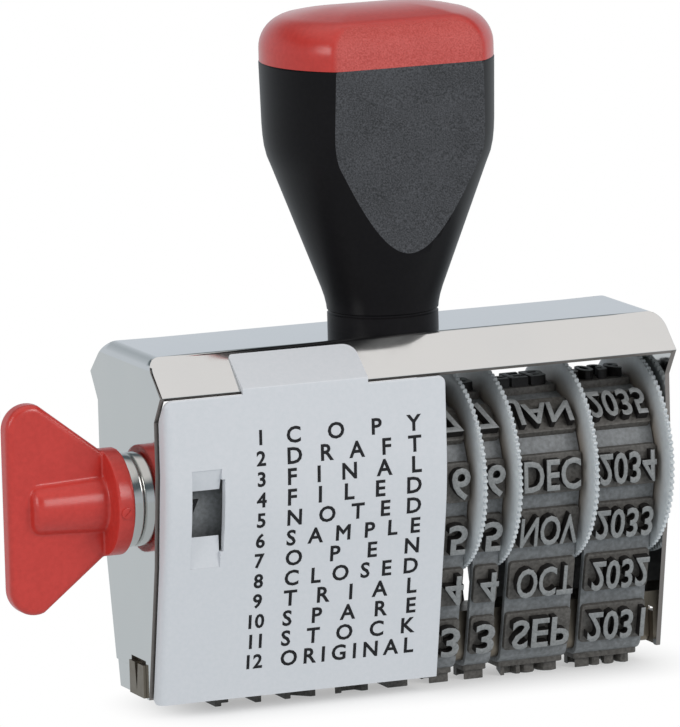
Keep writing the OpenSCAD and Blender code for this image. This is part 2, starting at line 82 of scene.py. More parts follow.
# %% [markdown]
# Materials are small node trees, and a few helpers keep them short. One turns a hex colour, as a colour
# picker gives it, into the linear values that the renderer works with. Another adds one node, sets its
# properties, and fills its sockets either with a value or with a link from another node. A socket goes by
# its name, or by its number where several share a name.

# %% Helpers for materials
def linear(code):
    channels = [int(code[i:i + 2], 16) / 255 for i in (1, 3, 5)]
    return (*(c / 12.92 if c <= 0.04045 else ((c + 0.055) / 1.055) ** 2.4 for c in channels), 1)


def add(tree, kind, settings=None, numbered=None, **named):
    node = tree.nodes.new(kind)
    for name, value in (settings or {}).items():
        setattr(node, name, value)
    sockets = {name.replace("_", " "): value for name, value in named.items()}
    for key, value in {**(numbered or {}), **sockets}.items():
        if isinstance(value, bpy.types.NodeSocket):
            tree.links.new(value, node.inputs[key])
        else:
            node.inputs[key].default_value = value
    return node


def start_finish(name, **shader_values):
    """A new material, its node tree, its shader, and the place on the piece that its patterns read."""
    material = bpy.data.materials.new(name)
    material.use_nodes = True
    tree = material.node_tree
    shader = tree.nodes["Principled BSDF"]
    for socket, value in shader_values.items():
        shader.inputs[socket.replace("_", " ")].default_value = value
    print("finish:", name)
    return material, tree, shader, add(tree, "ShaderNodeTexCoord").outputs["Object"]


def per_mm(size):
    return 1 / (size * MM)


# %% [markdown]
# The studio is a pale floor under a white surrounding. The floor is plain matt paper close to the stamp, so
# that it takes the soft shadow, and it fades into glowing white further out, so no horizon shows. The
# distance is taken from a narrow field under the stamp. Even there the paper glows a little, which keeps
# the shadow pale.

# %% Floor
def beyond(tree, place, centre, half):
    """How far a point lies outside a box, which is given by its centre and half sizes in millimetres."""
    nothing = (0, 0, 0)
    steps = (("SUBTRACT", centre), ("ABSOLUTE", nothing), ("SUBTRACT", half), ("MAXIMUM", nothing))
    for operation, other in steps:
        step = add(
            tree, "ShaderNodeVectorMath", {"operation": operation}, {0: place, 1: Vector(other) * MM},
        )
        place = step.outputs["Vector"]
    return add(tree, "ShaderNodeVectorMath", {"operation": "LENGTH"}, Vector=place).outputs["Value"]


FLOOR_SIZE = 6000
FLOOR_DROP = 0.02
SHADE_CENTRE, SHADE_HALF = (2, 0, 0), (26, 2, 0)
FADE_LEAST, FADE_END = 0.4, 14
FLOOR_BOUNCE = linear("#CDD3D7")
WHITE = linear("#FFFFFF")

bpy.ops.object.select_all(action="DESELECT")
bpy.ops.mesh.primitive_plane_add(size=FLOOR_SIZE * MM, location=(0, 0, -FLOOR_DROP * MM))
floor = bpy.context.object
floor.name = "studio_floor"
paper, tree, shader, place = start_finish("matt_white_paper", Base_Color=linear("#F8F8F8"), Roughness=0.9)
fade = add(
    tree, "ShaderNodeMapRange", {"interpolation_type": "SMOOTHSTEP"},
    Value=beyond(tree, place, SHADE_CENTRE, SHADE_HALF), From_Max=FADE_END * MM, To_Min=FADE_LEAST,
)
rays = add(tree, "ShaderNodeLightPath").outputs
glow = add(
    tree, "ShaderNodeMix", {"data_type": "RGBA"}, {6: FLOOR_BOUNCE, 7: WHITE}, Factor=rays["Is Camera Ray"],
)
white = add(tree, "ShaderNodeEmission", Color=glow.outputs[2], Strength=1.0)
mixed = add(
    tree, "ShaderNodeMixShader", None, {1: shader.outputs["BSDF"], 2: white.outputs["Emission"]},
    Fac=fade.outputs["Result"],
)
tree.links.new(mixed.outputs["Shader"], tree.nodes["Material Output"].inputs["Surface"])
floor.data.materials.append(paper)
print("floor ready, shadow kept within", FADE_END, "mm of the shaded field")

# %% [markdown]
# The surrounding is white to the camera. Polished steel would then look like plain white paper, so its
# reflections see a studio instead: bluish walls near the horizon, a pale ceiling, and a darker belt between
# them that draws the dark lines along the bends. As a lamp the surrounding is weaker, which leaves the
# modelling to the two light boxes.

# %% Surrounding
WORLD_LAMP = 0.5
ROOM = [(0.20, "#D1D8E0"), (0.38, "#B8C0C7"), (0.52, "#667076"), (0.66, "#667076"), (0.86, "#F7F5F5")]
world = bpy.data.worlds.new("studio_white")
bpy.context.scene.world = world
world.use_nodes = True
tree = world.node_tree
heading = add(tree, "ShaderNodeTexCoord").outputs["Generated"]
height = add(tree, "ShaderNodeSeparateXYZ", Vector=heading)
room = add(tree, "ShaderNodeValToRGB", Fac=height.outputs["Z"])
stops = room.color_ramp.elements
while len(stops) < len(ROOM):
    stops.new(1.0)
for stop, (height_z, code) in zip(stops, ROOM):
    stop.position = height_z
    stop.color = linear(code)
rays = add(tree, "ShaderNodeLightPath").outputs
colour = add(
    tree, "ShaderNodeMix", {"data_type": "RGBA"}, {6: WHITE, 7: room.outputs["Color"]},
    Factor=rays["Is Glossy Ray"],
)
shown = rays["Is Camera Ray"]
for ray in ("Is Glossy Ray", "Is Transmission Ray"):
    shown = add(tree, "ShaderNodeMath", {"operation": "MAXIMUM"}, {0: shown, 1: rays[ray]}).outputs["Value"]
level = add(tree, "ShaderNodeMapRange", Value=shown, To_Min=WORLD_LAMP)
sky = tree.nodes["Background"]
tree.links.new(colour.outputs[2], sky.inputs["Color"])
tree.links.new(level.outputs["Result"], sky.inputs["Strength"])
bpy.context.scene.view_settings.view_transform = "Standard"
print("surrounding ready, as a lamp at", WORLD_LAMP)

# %% [markdown]
# Two soft lamps stand in for the studio's light boxes. The larger one hangs in front, to the right and
# above, and models the cover and the type. The smaller one fills in from the left, so that the knob's
# far side and the end plate don't go dark.

# %% Lamps
LAMPS = {
    "key_box": ((380, -760, 480), 420, 3.3),
    "fill_box": ((-700, -260, 420), 360, 1.6),
}
AIM = Vector((0, 0, 35)) * MM
for name, (spot, size, power) in LAMPS.items():
    bpy.ops.object.light_add(type="AREA", location=Vector(spot) * MM)
    lamp = bpy.context.object
    lamp.name = name
    lamp.data.shape = "SQUARE"
    lamp.data.size = size * MM
    lamp.data.energy = power
    lamp.rotation_euler = (AIM - lamp.location).to_track_quat("-Z", "Y").to_euler()
print("lamps:", list(LAMPS))

# %% [markdown]
# The frame, the bush and the rail are steel. Nickel plating is bright and slightly warm, with a faint
# haze from handling, so the colour and the roughness drift over some millimetres. Zinc plate is duller. The
# sheet's sheared edges are dull bare steel, and their dark brown is also a painted shade, which draws a dark
# line along every seam where the gaps lie in shade. All keep the default IOR, because a metal's reflection
# comes from its colour.

# %% Steel finishes
DRIFT_SIZE, HAZE_SIZE = 14, 1.2
HAZE_LOW, HAZE_HIGH = 0.3, 0.7
RIPPLE, RIPPLE_DEPTH = 0.02, 0.02


def steel(name, light, dark, smooth, rough):
    material, tree, shader, place = start_finish(name, Metallic=1.0)
    drift = add(tree, "ShaderNodeTexNoise", Vector=place, Scale=per_mm(DRIFT_SIZE), Detail=3.0)
    colour = add(
        tree, "ShaderNodeMix", {"data_type": "RGBA"}, {6: linear(light), 7: linear(dark)},
        Factor=drift.outputs["Fac"],
    )
    tree.links.new(colour.outputs[2], shader.inputs["Base Color"])
    haze = add(tree, "ShaderNodeTexNoise", Vector=place, Scale=per_mm(HAZE_SIZE), Detail=4.0).outputs["Fac"]
    gloss = add(
        tree, "ShaderNodeMapRange", Value=haze,
        From_Min=HAZE_LOW, From_Max=HAZE_HIGH, To_Min=smooth, To_Max=rough,
    )
    tree.links.new(gloss.outputs["Result"], shader.inputs["Roughness"])
    ripple = add(tree, "ShaderNodeBump", Height=haze, Strength=RIPPLE, Distance=RIPPLE_DEPTH * MM)
    tree.links.new(ripple.outputs["Normal"], shader.inputs["Normal"])
    return material


nickel = steel("nickel_plated_steel", "#E0DFDC", "#D6D7D6", 0.06, 0.10)
zinc = steel("zinc_plated_steel", "#BDB7AB", "#A29B8E", 0.26, 0.38)
dull_steel = steel("worn_bare_steel", "#948B7E", "#786F63", 0.34, 0.48)
# The sheet's rim: dull bare edge, darkened further by painted shade for the seams.
sheared_and_shaded = steel("sheared_edge_with_painted_shade", "#9C9590", "#827C78", 0.34, 0.46)

# %% [markdown]
# The mouldings are ABS. Polished tool steel leaves a satin skin, and etched tool steel leaves a fine
# leather-like grain, which the facets of the handle show. The grain is drawn at about a fifth of a
# millimetre, a little coarser than real, because finer grain would not show in the picture. Each finish
# below gives its two shades, roughness, specular level, grain size, and the strength and depth of its bumps.

# %% Plastic finishes
PATCH_SIZE, PORE_SHARE = 5, 0.85
SHADES_LOW, SHADES_HIGH = 0.35, 0.65


def skin(tree, place, shader, light, dark, rough, specular, grain, strength, depth):
    """Gives a shader the look of a moulded skin: two shades, a grain size in millimetres and its depth."""
    shader.inputs["Roughness"].default_value = rough
    shader.inputs["Specular IOR Level"].default_value = specular
    drift = add(tree, "ShaderNodeTexNoise", Vector=place, Scale=per_mm(PATCH_SIZE), Detail=1.0).outputs["Fac"]
    pores = add(tree, "ShaderNodeTexNoise", Vector=place, Scale=per_mm(grain), Detail=3.0).outputs["Fac"]
    blend = add(tree, "ShaderNodeMix", {"data_type": "FLOAT"}, {2: drift, 3: pores}, Factor=PORE_SHARE)
    spread = add(
        tree, "ShaderNodeMapRange", Value=blend.outputs[0], From_Min=SHADES_LOW, From_Max=SHADES_HIGH,
    )
    colour = add(
        tree, "ShaderNodeMix", {"data_type": "RGBA"}, {6: linear(dark), 7: linear(light)},
        Factor=spread.outputs["Result"],
    )
    tree.links.new(colour.outputs[2], shader.inputs["Base Color"])
    bump = add(tree, "ShaderNodeBump", Height=pores, Strength=strength, Distance=depth * MM)
    tree.links.new(bump.outputs["Normal"], shader.inputs["Normal"])


def moulded(name, *look):
    material, tree, shader, place = start_finish(name)
    skin(tree, place, shader, *look)
    return material


black_abs = moulded("satin_black_abs", "#110F11", "#0D0B0D", 0.36, 0.13, 0.5, 0.05, 0.02)
black_grain = moulded("grained_black_abs", "#494A4E", "#1A1B1D", 0.50, 0.45, 0.20, 1.00, 0.12)
red_abs = moulded("satin_red_abs", "#CB3B33", "#C2362E", 0.26, 0.50, 0.6, 0.05, 0.02)
white_abs = moulded("satin_white_abs", "#D8DADE", "#D4D7DB", 0.42, 0.40, 0.5, 0.06, 0.02)
ink = moulded("screen_printing_ink", "#17171A", "#0F0F11", 0.50, 0.30, 0.25, 0.10, 0.01)

# %% [markdown]
# The cap is polished with a grained flat in front and behind. Both skins live in one material, and a mask
# with rounded upper corners shows the grain only on the flats. It fades over half a millimetre, as the
# etched area of a mould does at its border.

# %% Red finish of the cap
FLAT_X, FLAT_LOW, FLAT_TOP, FLAT_R, FLAT_FADE = 9.7, 70, 83.5, 3.2, 0.25
red_cap, tree, grained, place = start_finish("red_abs_with_grained_flats")
skin(tree, place, grained, "#CE5A54", "#B44039", 0.50, 0.45, 0.20, 1.00, 0.12)
polished = add(tree, "ShaderNodeBsdfPrincipled", Sheen_Weight=0.4, Sheen_Roughness=0.3)
skin(tree, place, polished, "#C5372F", "#BD322A", 0.26, 0.50, 0.6, 0.05, 0.02)
flat_centre = (0, 0, (FLAT_LOW + FLAT_TOP - FLAT_R) / 2)
flat_half = (FLAT_X - FLAT_R, FLOOR_SIZE, (FLAT_TOP - FLAT_R - FLAT_LOW) / 2)
off_flat = add(
    tree, "ShaderNodeMapRange", Value=beyond(tree, place, flat_centre, flat_half),
    From_Min=(FLAT_R - FLAT_FADE) * MM, From_Max=(FLAT_R + FLAT_FADE) * MM,
)
mixed = add(
    tree, "ShaderNodeMixShader", None, {1: grained.outputs["BSDF"], 2: polished.outputs["BSDF"]},
    Fac=off_flat.outputs["Result"],
)
tree.links.new(mixed.outputs["Shader"], tree.nodes["Material Output"].inputs["Surface"])

# %% [markdown]
# Thumbwheels are natural nylon. It lets light a little way in, so its thin teeth glow and its shadows
# stay soft. The rims get a grey-brown painted shade near the type, for the shade of the bands and the
# reflection of their dark rubber, and the teeth stay light, so the colour changes with the distance from the
# axis.

# %% Nylon finish
AXIS_Z = 26.5
# Painted shade is full inside the first radius and gone beyond the second.
SHADE_R, LIT_R = 8.8, 12.4
nylon = moulded("natural_nylon", "#CBD0D2", "#C1C6C9", 0.42, 0.45, 0.7, 0.05, 0.02)
tree = nylon.node_tree
shader = tree.nodes["Principled BSDF"]
shader.inputs["Subsurface Weight"].default_value = 0.25
shader.inputs["Subsurface Radius"].default_value = (1.0, 0.95, 0.9)
shader.inputs["Subsurface Scale"].default_value = 0.6 * MM
place = tree.nodes["Texture Coordinate"].outputs["Object"]
for operation, other in (("SUBTRACT", (0, 0, AXIS_Z * MM)), ("MULTIPLY", (0, 1, 1))):
    step = add(tree, "ShaderNodeVectorMath", {"operation": operation}, {0: place, 1: other})
    place = step.outputs["Vector"]
radius = add(tree, "ShaderNodeVectorMath", {"operation": "LENGTH"}, Vector=place)
lit_share = add(
    tree, "ShaderNodeMapRange", {"interpolation_type": "SMOOTHSTEP"}, Value=radius.outputs["Value"],
    From_Min=SHADE_R * MM, From_Max=LIT_R * MM,
)
plain_nylon = shader.inputs["Base Color"].links[0].from_socket
# The grey-brown is painted shade and reflection of the bands, mixed in towards the axis.
painted_shade = add(
    tree, "ShaderNodeMix", {"data_type": "RGBA"}, {6: linear("#9A9085"), 7: plain_nylon},
    Factor=lit_share.outputs["Result"],
)
tree.links.new(painted_shade.outputs[2], shader.inputs["Base Color"])

# %% [markdown]
# The bands are vulcanised rubber. The belt is smooth and dusty grey and the pads are browner. Ink has dried
# on the sides of the type, and with painted shade for the deep recesses between the letters they are nearly
# black, while the type's faces are grey. On the pads that stand on the paper the sides are painted lighter,
# in the pads' own colour, for the light that the floor throws up there.

# %% Rubber finishes
rubber_belt = moulded("smooth_grey_rubber", "#85888A", "#6E7071", 0.50, 0.40, 0.5, 0.15, 0.04)
rubber_base = moulded("brown_grey_rubber", "#64615D", "#494642", 0.50, 0.40, 0.4, 0.25, 0.05)
rubber_type = moulded("type_face_rubber", "#929494", "#7C7E7E", 0.50, 0.40, 0.3, 0.15, 0.03)
# Ink and painted shade on the sides of the type.
rubber_inked_and_shaded = moulded("inked_and_shaded_rubber", "#272423", "#171514", 0.50, 0.35, 0.4, 0.20, 0.04)

# %% [markdown]
# Modelling by hand means: pick one object, go to edit mode, select something, use a tool. These helpers
# do the picking. Everything is deselected first, because an operator acts on all that is selected. Places
# that are near each other count as the same, and a face looks along an axis when its normal nearly does.

# %% Helpers for picking and cutting
NEAR, MERGE, FACING = 0.01, 0.001, 0.99


def only(piece):
    bpy.ops.object.select_all(action="DESELECT")
    piece.select_set(True)
    bpy.context.view_layer.objects.active = piece


def leave():
    bpy.ops.object.mode_set(mode="OBJECT")


def pick(piece, kind, test):
    """Enters edit mode with only the vertices, edges or faces selected that pass the test, in millimetres."""
    only(piece)
    mesh = piece.data
    bpy.ops.object.mode_set(mode="EDIT")
    bpy.ops.mesh.select_mode(type=kind)
    bpy.ops.mesh.select_all(action="DESELECT")
    leave()
    if kind == "VERT":
        tested = [(v, test(v.co / MM)) for v in mesh.vertices]
    elif kind == "EDGE":
        tested = [(e, test(*(mesh.vertices[i].co / MM for i in e.vertices))) for e in mesh.edges]
    else:
        tested = [(f, test(f.center / MM, f.normal)) for f in mesh.polygons]
    for element, passed in tested:
        element.select = passed
    bpy.ops.object.mode_set(mode="EDIT")
    return sum(passed for _, passed in tested)


def slice_faces(piece, test, point, normal):
    """Draws a cut across the faces that pass the test, where a plane meets them."""
    pick(piece, "FACE", test)
    bpy.ops.mesh.bisect(plane_co=[c * MM for c in point], plane_no=normal)
    leave()


def round_off(piece, kind, test, radius, segments):
    """Rounds the edges that pass the test, or the edges of the faces that pass it, and counts them."""
    found = pick(piece, kind, test)
    bpy.ops.mesh.bevel(offset=radius * MM, segments=segments, affect="EDGES", clamp_overlap=False)
    leave()
    return found


# %% [markdown]
# A modifier is added, set and applied at once. Most pieces start as a drawn line, which is then filled and
# pulled to a length, or spun round an axis. At the end each piece gets its finish and is handed over.

# %% Helpers for modifiers
def modify(piece, kind, **settings):
    only(piece)
    modifier = piece.modifiers.new(kind.lower(), kind)
    for name, value in settings.items():
        setattr(modifier, name, value)
    bpy.ops.object.modifier_apply(modifier=modifier.name)


def soften(piece, width, segments, angle):
    """Bevels every edge that is sharper than the angle, in degrees."""
    limit = math.radians(angle)
    modify(piece, "BEVEL", width=width * MM, segments=segments, limit_method="ANGLE", angle_limit=limit)


def combine(piece, tool, operation):
    modify(piece, "BOOLEAN", object=tool, operation=operation, solver="EXACT")
    bpy.data.objects.remove(tool)


# %% Helpers for drawn pieces
def draw(name, points, closed=False):
    """Draws a line through the points, by extruding one vertex from each to the next."""
    bpy.ops.object.select_all(action="DESELECT")
    bpy.ops.mesh.primitive_plane_add(size=MM)
    piece = bpy.context.object
    piece.name = name
    points = [Vector(p) for p in points]
    if closed:
        points.append(points[0])
    bpy.ops.object.mode_set(mode="EDIT")
    bpy.ops.mesh.select_mode(type="VERT")
    bpy.ops.mesh.select_all(action="SELECT")
    bpy.ops.mesh.merge(type="CENTER")
    bpy.ops.transform.translate(value=points[0] * MM)
    for a, b in zip(points, points[1:]):
        bpy.ops.mesh.extrude_vertices_move(TRANSFORM_OT_translate={"value": (b - a) * MM})
    bpy.ops.mesh.select_all(action="SELECT")
    if closed:
        bpy.ops.mesh.remove_doubles(threshold=MERGE * MM)
    return piece


def tidy_normals():
    """Merges the double points of the active piece, turns its faces outwards and leaves edit mode."""
    bpy.ops.object.mode_set(mode="EDIT")
    bpy.ops.mesh.select_all(action="SELECT")
    bpy.ops.mesh.remove_doubles(threshold=MERGE * MM)
    bpy.ops.mesh.normals_make_consistent(inside=False)
    leave()


def prism(name, outline, along):
    """A closed outline, filled and pulled along a direction."""
    piece = draw(name, outline, closed=True)
    bpy.ops.mesh.edge_face_add()
    bpy.ops.mesh.extrude_region_move(TRANSFORM_OT_translate={"value": Vector(along) * MM})
    tidy_normals()
    return piece


def lathe(name, outline, centre, axis, steps):
    """An outline that is spun once round an axis."""
    piece = draw(name, outline)
    bpy.ops.mesh.spin(steps=steps, angle=math.tau, center=Vector(centre) * MM, axis=axis)
    tidy_normals()
    return piece


# %% Helpers for the end of a piece
SMOOTH_BELOW = math.radians(32)


def paint(piece, *finishes):
    piece.data.materials.clear()
    for finish in finishes:
        piece.data.materials.append(finish)


def hand_over(piece, body, finish, nodes, broad=False):
    """The finished piece gets its finish, unless it is painted, rides on a CAD body and stands for its CAD
    nodes. Where a piece has broad flat faces, the small faces at their edges don't bend their shading."""
    only(piece)
    bpy.ops.object.transform_apply(location=True, rotation=True, scale=True)
    bpy.ops.object.shade_smooth_by_angle(angle=SMOOTH_BELOW)
    if broad:
        modify(piece, "WEIGHTED_NORMAL", mode="FACE_AREA", weight=50, keep_sharp=True)
    if finish:
        paint(piece, finish)
    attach(piece, body)
    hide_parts(*nodes)
    print(piece.name, "has", len(piece.data.polygons), "faces and rides on", body)


# %% [markdown]
# The frame is one bent sheet of steel: a flat top, a sloping flange along each side, and an end plate bent
# down at each end. It could be folded from a flat pattern, but it is quicker to shape the solid that the
# sheet wraps, delete the open sides, and give the rest its thickness. The end bends are wide and bevelled.

# %% Frame outline as a solid
HALF_L = 34.2
BEND_R, BEND_STEPS = 1.8, 10
TOP_Z, FLANGE_Z, FOOT_Z = 45.0, 40.7, 2.4
TOP_Y, FLANGE_Y = 7.05, 11.8
PLATE_HALF = [(TOP_Y, TOP_Z), (FLANGE_Y, FLANGE_Z), (9.5, 37.4), (9.5, 30.9), (8.3, 19.4), (5.1, FOOT_Z)]
SLOT_Y0, SLOT_Y1, SLOT_TOP = -4.3, 0.5, 7.1
FOOT_SLOT = [(SLOT_Y1, FOOT_Z), (SLOT_Y1, SLOT_TOP), (SLOT_Y0, SLOT_TOP), (SLOT_Y0, FOOT_Z)]
outline = [(-HALF_L, y, z) for y, z in PLATE_HALF + FOOT_SLOT]
outline += [(-HALF_L, -y, z) for y, z in reversed(PLATE_HALF)]
shell = prism("frame_sheet", outline, (2 * HALF_L, 0, 0))


def across_top(a, b):
    return min(a.z, b.z) > TOP_Z - NEAR and abs(a.x - b.x) < NEAR


print("end bends on", round_off(shell, "EDGE", across_top, BEND_R, BEND_STEPS), "edges")

# %% [markdown]
# A fine seam stays open where a flange meets the end plate at the knob: the edges there are split, and the
# flange is made a little shorter. The folds to the flanges are tight, so a row of faces on each side of
# them and a slight pull inwards are enough.

# %% Frame sheet with its seams and folds
TILTED = 0.3
FLANGE_SLOPE = (FLANGE_Y - TOP_Y) / (TOP_Z - FLANGE_Z)
SEAM_TOP, SEAM_W, SEAM_EDGE = 43.9, 0.12, 0.15
FOLD_W, FOLD_PULL, FOLD_END = 0.4, 0.07, HALF_L - BEND_R - 5


def on_flange(p):
    return p.z > FLANGE_Z - NEAR and abs(abs(p.y) - TOP_Y - (TOP_Z - p.z) * FLANGE_SLOPE) < 2 * NEAR


def at_seam(a, b):
    below = abs(a.z - b.z) > MERGE and min(a.z, b.z) < SEAM_TOP + NEAR
    return on_flange(a) and on_flange(b) and max(a.x, b.x) < BEND_R + NEAR - HALF_L and below


def flange_face(n):
    return abs(n.y) > TILTED and n.z > TILTED


pick(shell, "FACE", lambda c, n: abs(c.x) < 1 and c.z < FLANGE_Z)
bpy.ops.mesh.delete(type="FACE")
leave()
slice_faces(shell, lambda c, n: flange_face(n), (0, 0, SEAM_TOP), (0, 0, 1))
found = pick(shell, "EDGE", at_seam)
bpy.ops.mesh.edge_split(type="EDGE")
leave()
print("seams open on", found, "edges")
pick(shell, "FACE", lambda c, n: flange_face(n) and c.z < SEAM_TOP)
shorter = 1 - (SEAM_EDGE + SEAM_W) / (2 * HALF_L)
bpy.ops.transform.resize(value=(shorter, 1, 1), center_override=(HALF_L * MM, 0, 0))
leave()
for x in (-FOLD_END, FOLD_END):
    slice_faces(shell, lambda c, n: n.z > TILTED and abs(n.x) < NEAR, (x, 0, 0), (1, 0, 0))
flange_len = math.hypot(FLANGE_Y - TOP_Y, TOP_Z - FLANGE_Z)
flange_dir = Vector(((FLANGE_Y - TOP_Y) / flange_len, (TOP_Z - FLANGE_Z) / flange_len))
for side in (-1, 1):
    fold = Vector((0, side * TOP_Y, TOP_Z))
    down = Vector((0, side * flange_dir.x, -flange_dir.y))
    beside = (0, side * (TOP_Y - FOLD_W), 0)
    slice_faces(shell, lambda c, n: abs(n.y) < NEAR and n.z > NEAR, beside, (0, 1, 0))
    slice_faces(shell, lambda c, n: flange_face(n) and side * n.y > 0, fold + FOLD_W * down, down)
    found = pick(shell, "VERT", lambda p: (p - fold).yz.length < NEAR and abs(p.x) < FOLD_END + NEAR)
    inwards = (down - Vector((0, side, 0))).normalized()
    bpy.ops.transform.translate(value=FOLD_PULL * MM * inwards)
    leave()
    print("fold blunted at", found, "points")

# %% [markdown]
# Behind the slot at its foot, each end plate is pressed in by a fraction of a millimetre. Two cuts make room
# for the step, a third keeps the plate's shoulders apart, and the points below the step move inwards. The
# sheet then gets its thickness, thinner beside the seam, and its sheared rim takes the second finish.

# %% Pressed step at the frame's foot, and the sheet's thickness
STEP_TOP, STEP_IN = 5.8, 0.2
PLATE_TOP = FLANGE_Z - 0.3
SHEET, SHEET_EDGE = 0.6, 0.09
for z in (PLATE_TOP, STEP_TOP, STEP_TOP - STEP_IN):
    slice_faces(shell, lambda c, n: abs(n.x) > FACING, (0, 0, z), (0, 0, 1))
step_z = STEP_TOP - STEP_IN / 2
found = pick(shell, "VERT", lambda p: abs(p.x) > HALF_L - NEAR and p.z < step_z and p.y > SLOT_Y1 - NEAR)
bpy.ops.transform.resize(value=(1 - STEP_IN / HALF_L, 1, 1), center_override=(0, 0, 0))
leave()
print("pressed step moves", found, "points")
wall = shell.vertex_groups.new(name="wall")
plate_points = {i for face in shell.data.polygons if abs(face.normal.y) < NEAR for i in face.vertices}
for vertex in shell.data.vertices:
    spot = vertex.co / MM
    beside_seam = spot.x < BEND_R - HALF_L and on_flange(spot) and spot.z < SEAM_TOP + NEAR
    thin = beside_seam and vertex.index in plate_points
    wall.add([vertex.index], SEAM_EDGE / SHEET if thin else 1.0, "REPLACE")
paint(shell, nickel, sheared_and_shaded)
modify(
    shell, "SOLIDIFY", thickness=SHEET * MM, offset=-1, use_even_offset=True, vertex_group="wall",
    material_offset_rim=1,
)
soften(shell, SHEET_EDGE, 1, 50)
hand_over(shell, "frame", None, ["frame_shell"], broad=True)

# %% [markdown]
# The handle is a turned form with two flats. Its outline is drawn once, from the neck up over the cone to
# the straight grip, and spun round the middle. Extra points along the long straights keep the faces short,
# so the later cuts leave no streaks. A bisecting plane cuts each flat and fills it, and the flats get the
# etched grain.

# %% Grip of the handle
SEAM_Z = 78.4
FACET_Y = 10.7
FACET_LEAN = math.radians(3.0)
GRIP = [
    (0, 0), (6.85, 0), (6.85, 1.9), (6.7, 2.05), (6.7, 2.25), (6.88, 2.4), (6.95, 3.0), (7.15, 3.9),
    (7.5, 5.0), (13.2, 20.2), (13.75, 21.6), (14.05, 22.9), (14.2, 24.2), (14.28, 25.6), (14.45, 33.2),
    (14.3, 33.4), (0, 33.4),
]
GRIP_ROW, GRIP_STEPS = 1.6, 256


def in_rows(outline):
    """The outline with points added along its steep straights."""
    points = [Vector(outline[0])]
    for a, b in zip(outline, outline[1:]):
        parts = max(1, round((b[1] - a[1]) / GRIP_ROW))
        points += [Vector(a).lerp(Vector(b), i / parts) for i in range(1, parts + 1)]
    return points


grip_line = [(p.x, 0, TOP_Z + p.y) for p in in_rows(GRIP)]
grip = lathe("handle_grip_moulding", grip_line, (0, 0, 0), (0, 0, 1), GRIP_STEPS)
paint(grip, black_abs, black_grain)
for side in (-1, 1):
    normal = Vector((0, side * math.cos(FACET_LEAN), -math.sin(FACET_LEAN)))
    point = Vector((0, side * FACET_Y, SEAM_Z)) * MM
    only(grip)
    bpy.ops.object.mode_set(mode="EDIT")
    bpy.ops.mesh.select_mode(type="EDGE")
    bpy.ops.mesh.select_all(action="SELECT")
    bpy.ops.mesh.bisect(
        plane_co=point, plane_no=normal, use_fill=True, clear_outer=True, threshold=0.1 * MERGE * MM,
    )
    leave()
    for face in grip.data.polygons:
        if face.normal.dot(normal) > FACING and abs((face.center - point).dot(normal)) < NEAR * MM:
            face.material_index = 1
hand_over(grip, "frame", None, ["handle_grip"], broad=True)

# %% [markdown]
# The cap continues the grip's outline: a circle with a flat in front and behind, its corners slightly
# rounded. The outline is filled and pulled up, and then pulled up again and again, each time a little less
# far and drawn in a little more. That rolls the flats and the round sides over into one soft edge.

# %% Cap of the handle
CAP_R = 14.4
CAP_EDGE, CAP_SIDE_H, CAP_H = 4.2, 1.5, 6.6
EDGE_SWEEP, CROWN_SHARE = 80, 0.92
ARC_STEPS, FLAT_STEPS, EDGE_STEPS, CROWN_STEPS = 24, 8, 10, 6
SOFT, BLUNT_X, BLUNT_Y = 0.06, 0.1, 0.06
corner = math.asin(FACET_Y / CAP_R)
flat_x = CAP_R * math.cos(corner)
turns = [(corner - SOFT) * i / ARC_STEPS for i in range(ARC_STEPS + 1)]
quarter = [(CAP_R * math.cos(a), CAP_R * math.sin(a)) for a in turns]
quarter += [(flat_x - BLUNT_X, FACET_Y - BLUNT_Y)]
quarter += [(flat_x * (1 - SOFT) * (1 - i / FLAT_STEPS), FACET_Y) for i in range(FLAT_STEPS + 1)]
half = quarter + [(-x, y) for x, y in reversed(quarter[:-1])]
outline = half + [(x, -y) for x, y in reversed(half[1:-1])]

levels = [(0, 0)]
for i in range(EDGE_STEPS + 1):
    a = math.radians(EDGE_SWEEP * i / EDGE_STEPS)
    levels.append((CAP_EDGE * (1 - math.cos(a)), CAP_SIDE_H + CAP_EDGE * math.sin(a)))
edge_in, edge_z = levels[-1]
for i in range(1, CROWN_STEPS + 1):
    t = CROWN_SHARE * i / CROWN_STEPS
    levels.append((edge_in + (FACET_Y - edge_in) * t, edge_z + (CAP_H - edge_z) * (1 - (1 - t) ** 2)))
cap = draw("handle_cap_moulding", [(x, y, SEAM_Z) for x, y in outline], closed=True)
bpy.ops.mesh.edge_face_add()
for (in_a, z_a), (in_b, z_b) in zip(levels, levels[1:]):
    bpy.ops.mesh.extrude_region_move(TRANSFORM_OT_translate={"value": (0, 0, (z_b - z_a) * MM)})
    draw_in = ((CAP_R - in_b) / (CAP_R - in_a), (FACET_Y - in_b) / (FACET_Y - in_a), 1)
    bpy.ops.transform.resize(value=draw_in, center_override=(0, 0, 0))
tidy_normals()
print("cap reaches z =", round(max(v.co.z for v in cap.data.vertices) / MM, 2))
hand_over(cap, "frame", red_cap, ["handle_cap"])

# %% [markdown]
# The cover is a thin moulded shell that clips over the front flange. Its face is straight at the top, then
# curves and leans back towards the rail. Two functions give the face's place and its lean at any height, for
# the outline and later for the window and the print. The side outline is drawn along the face and back along
# the end plate's edge, pulled to full length, and its corners are rounded.

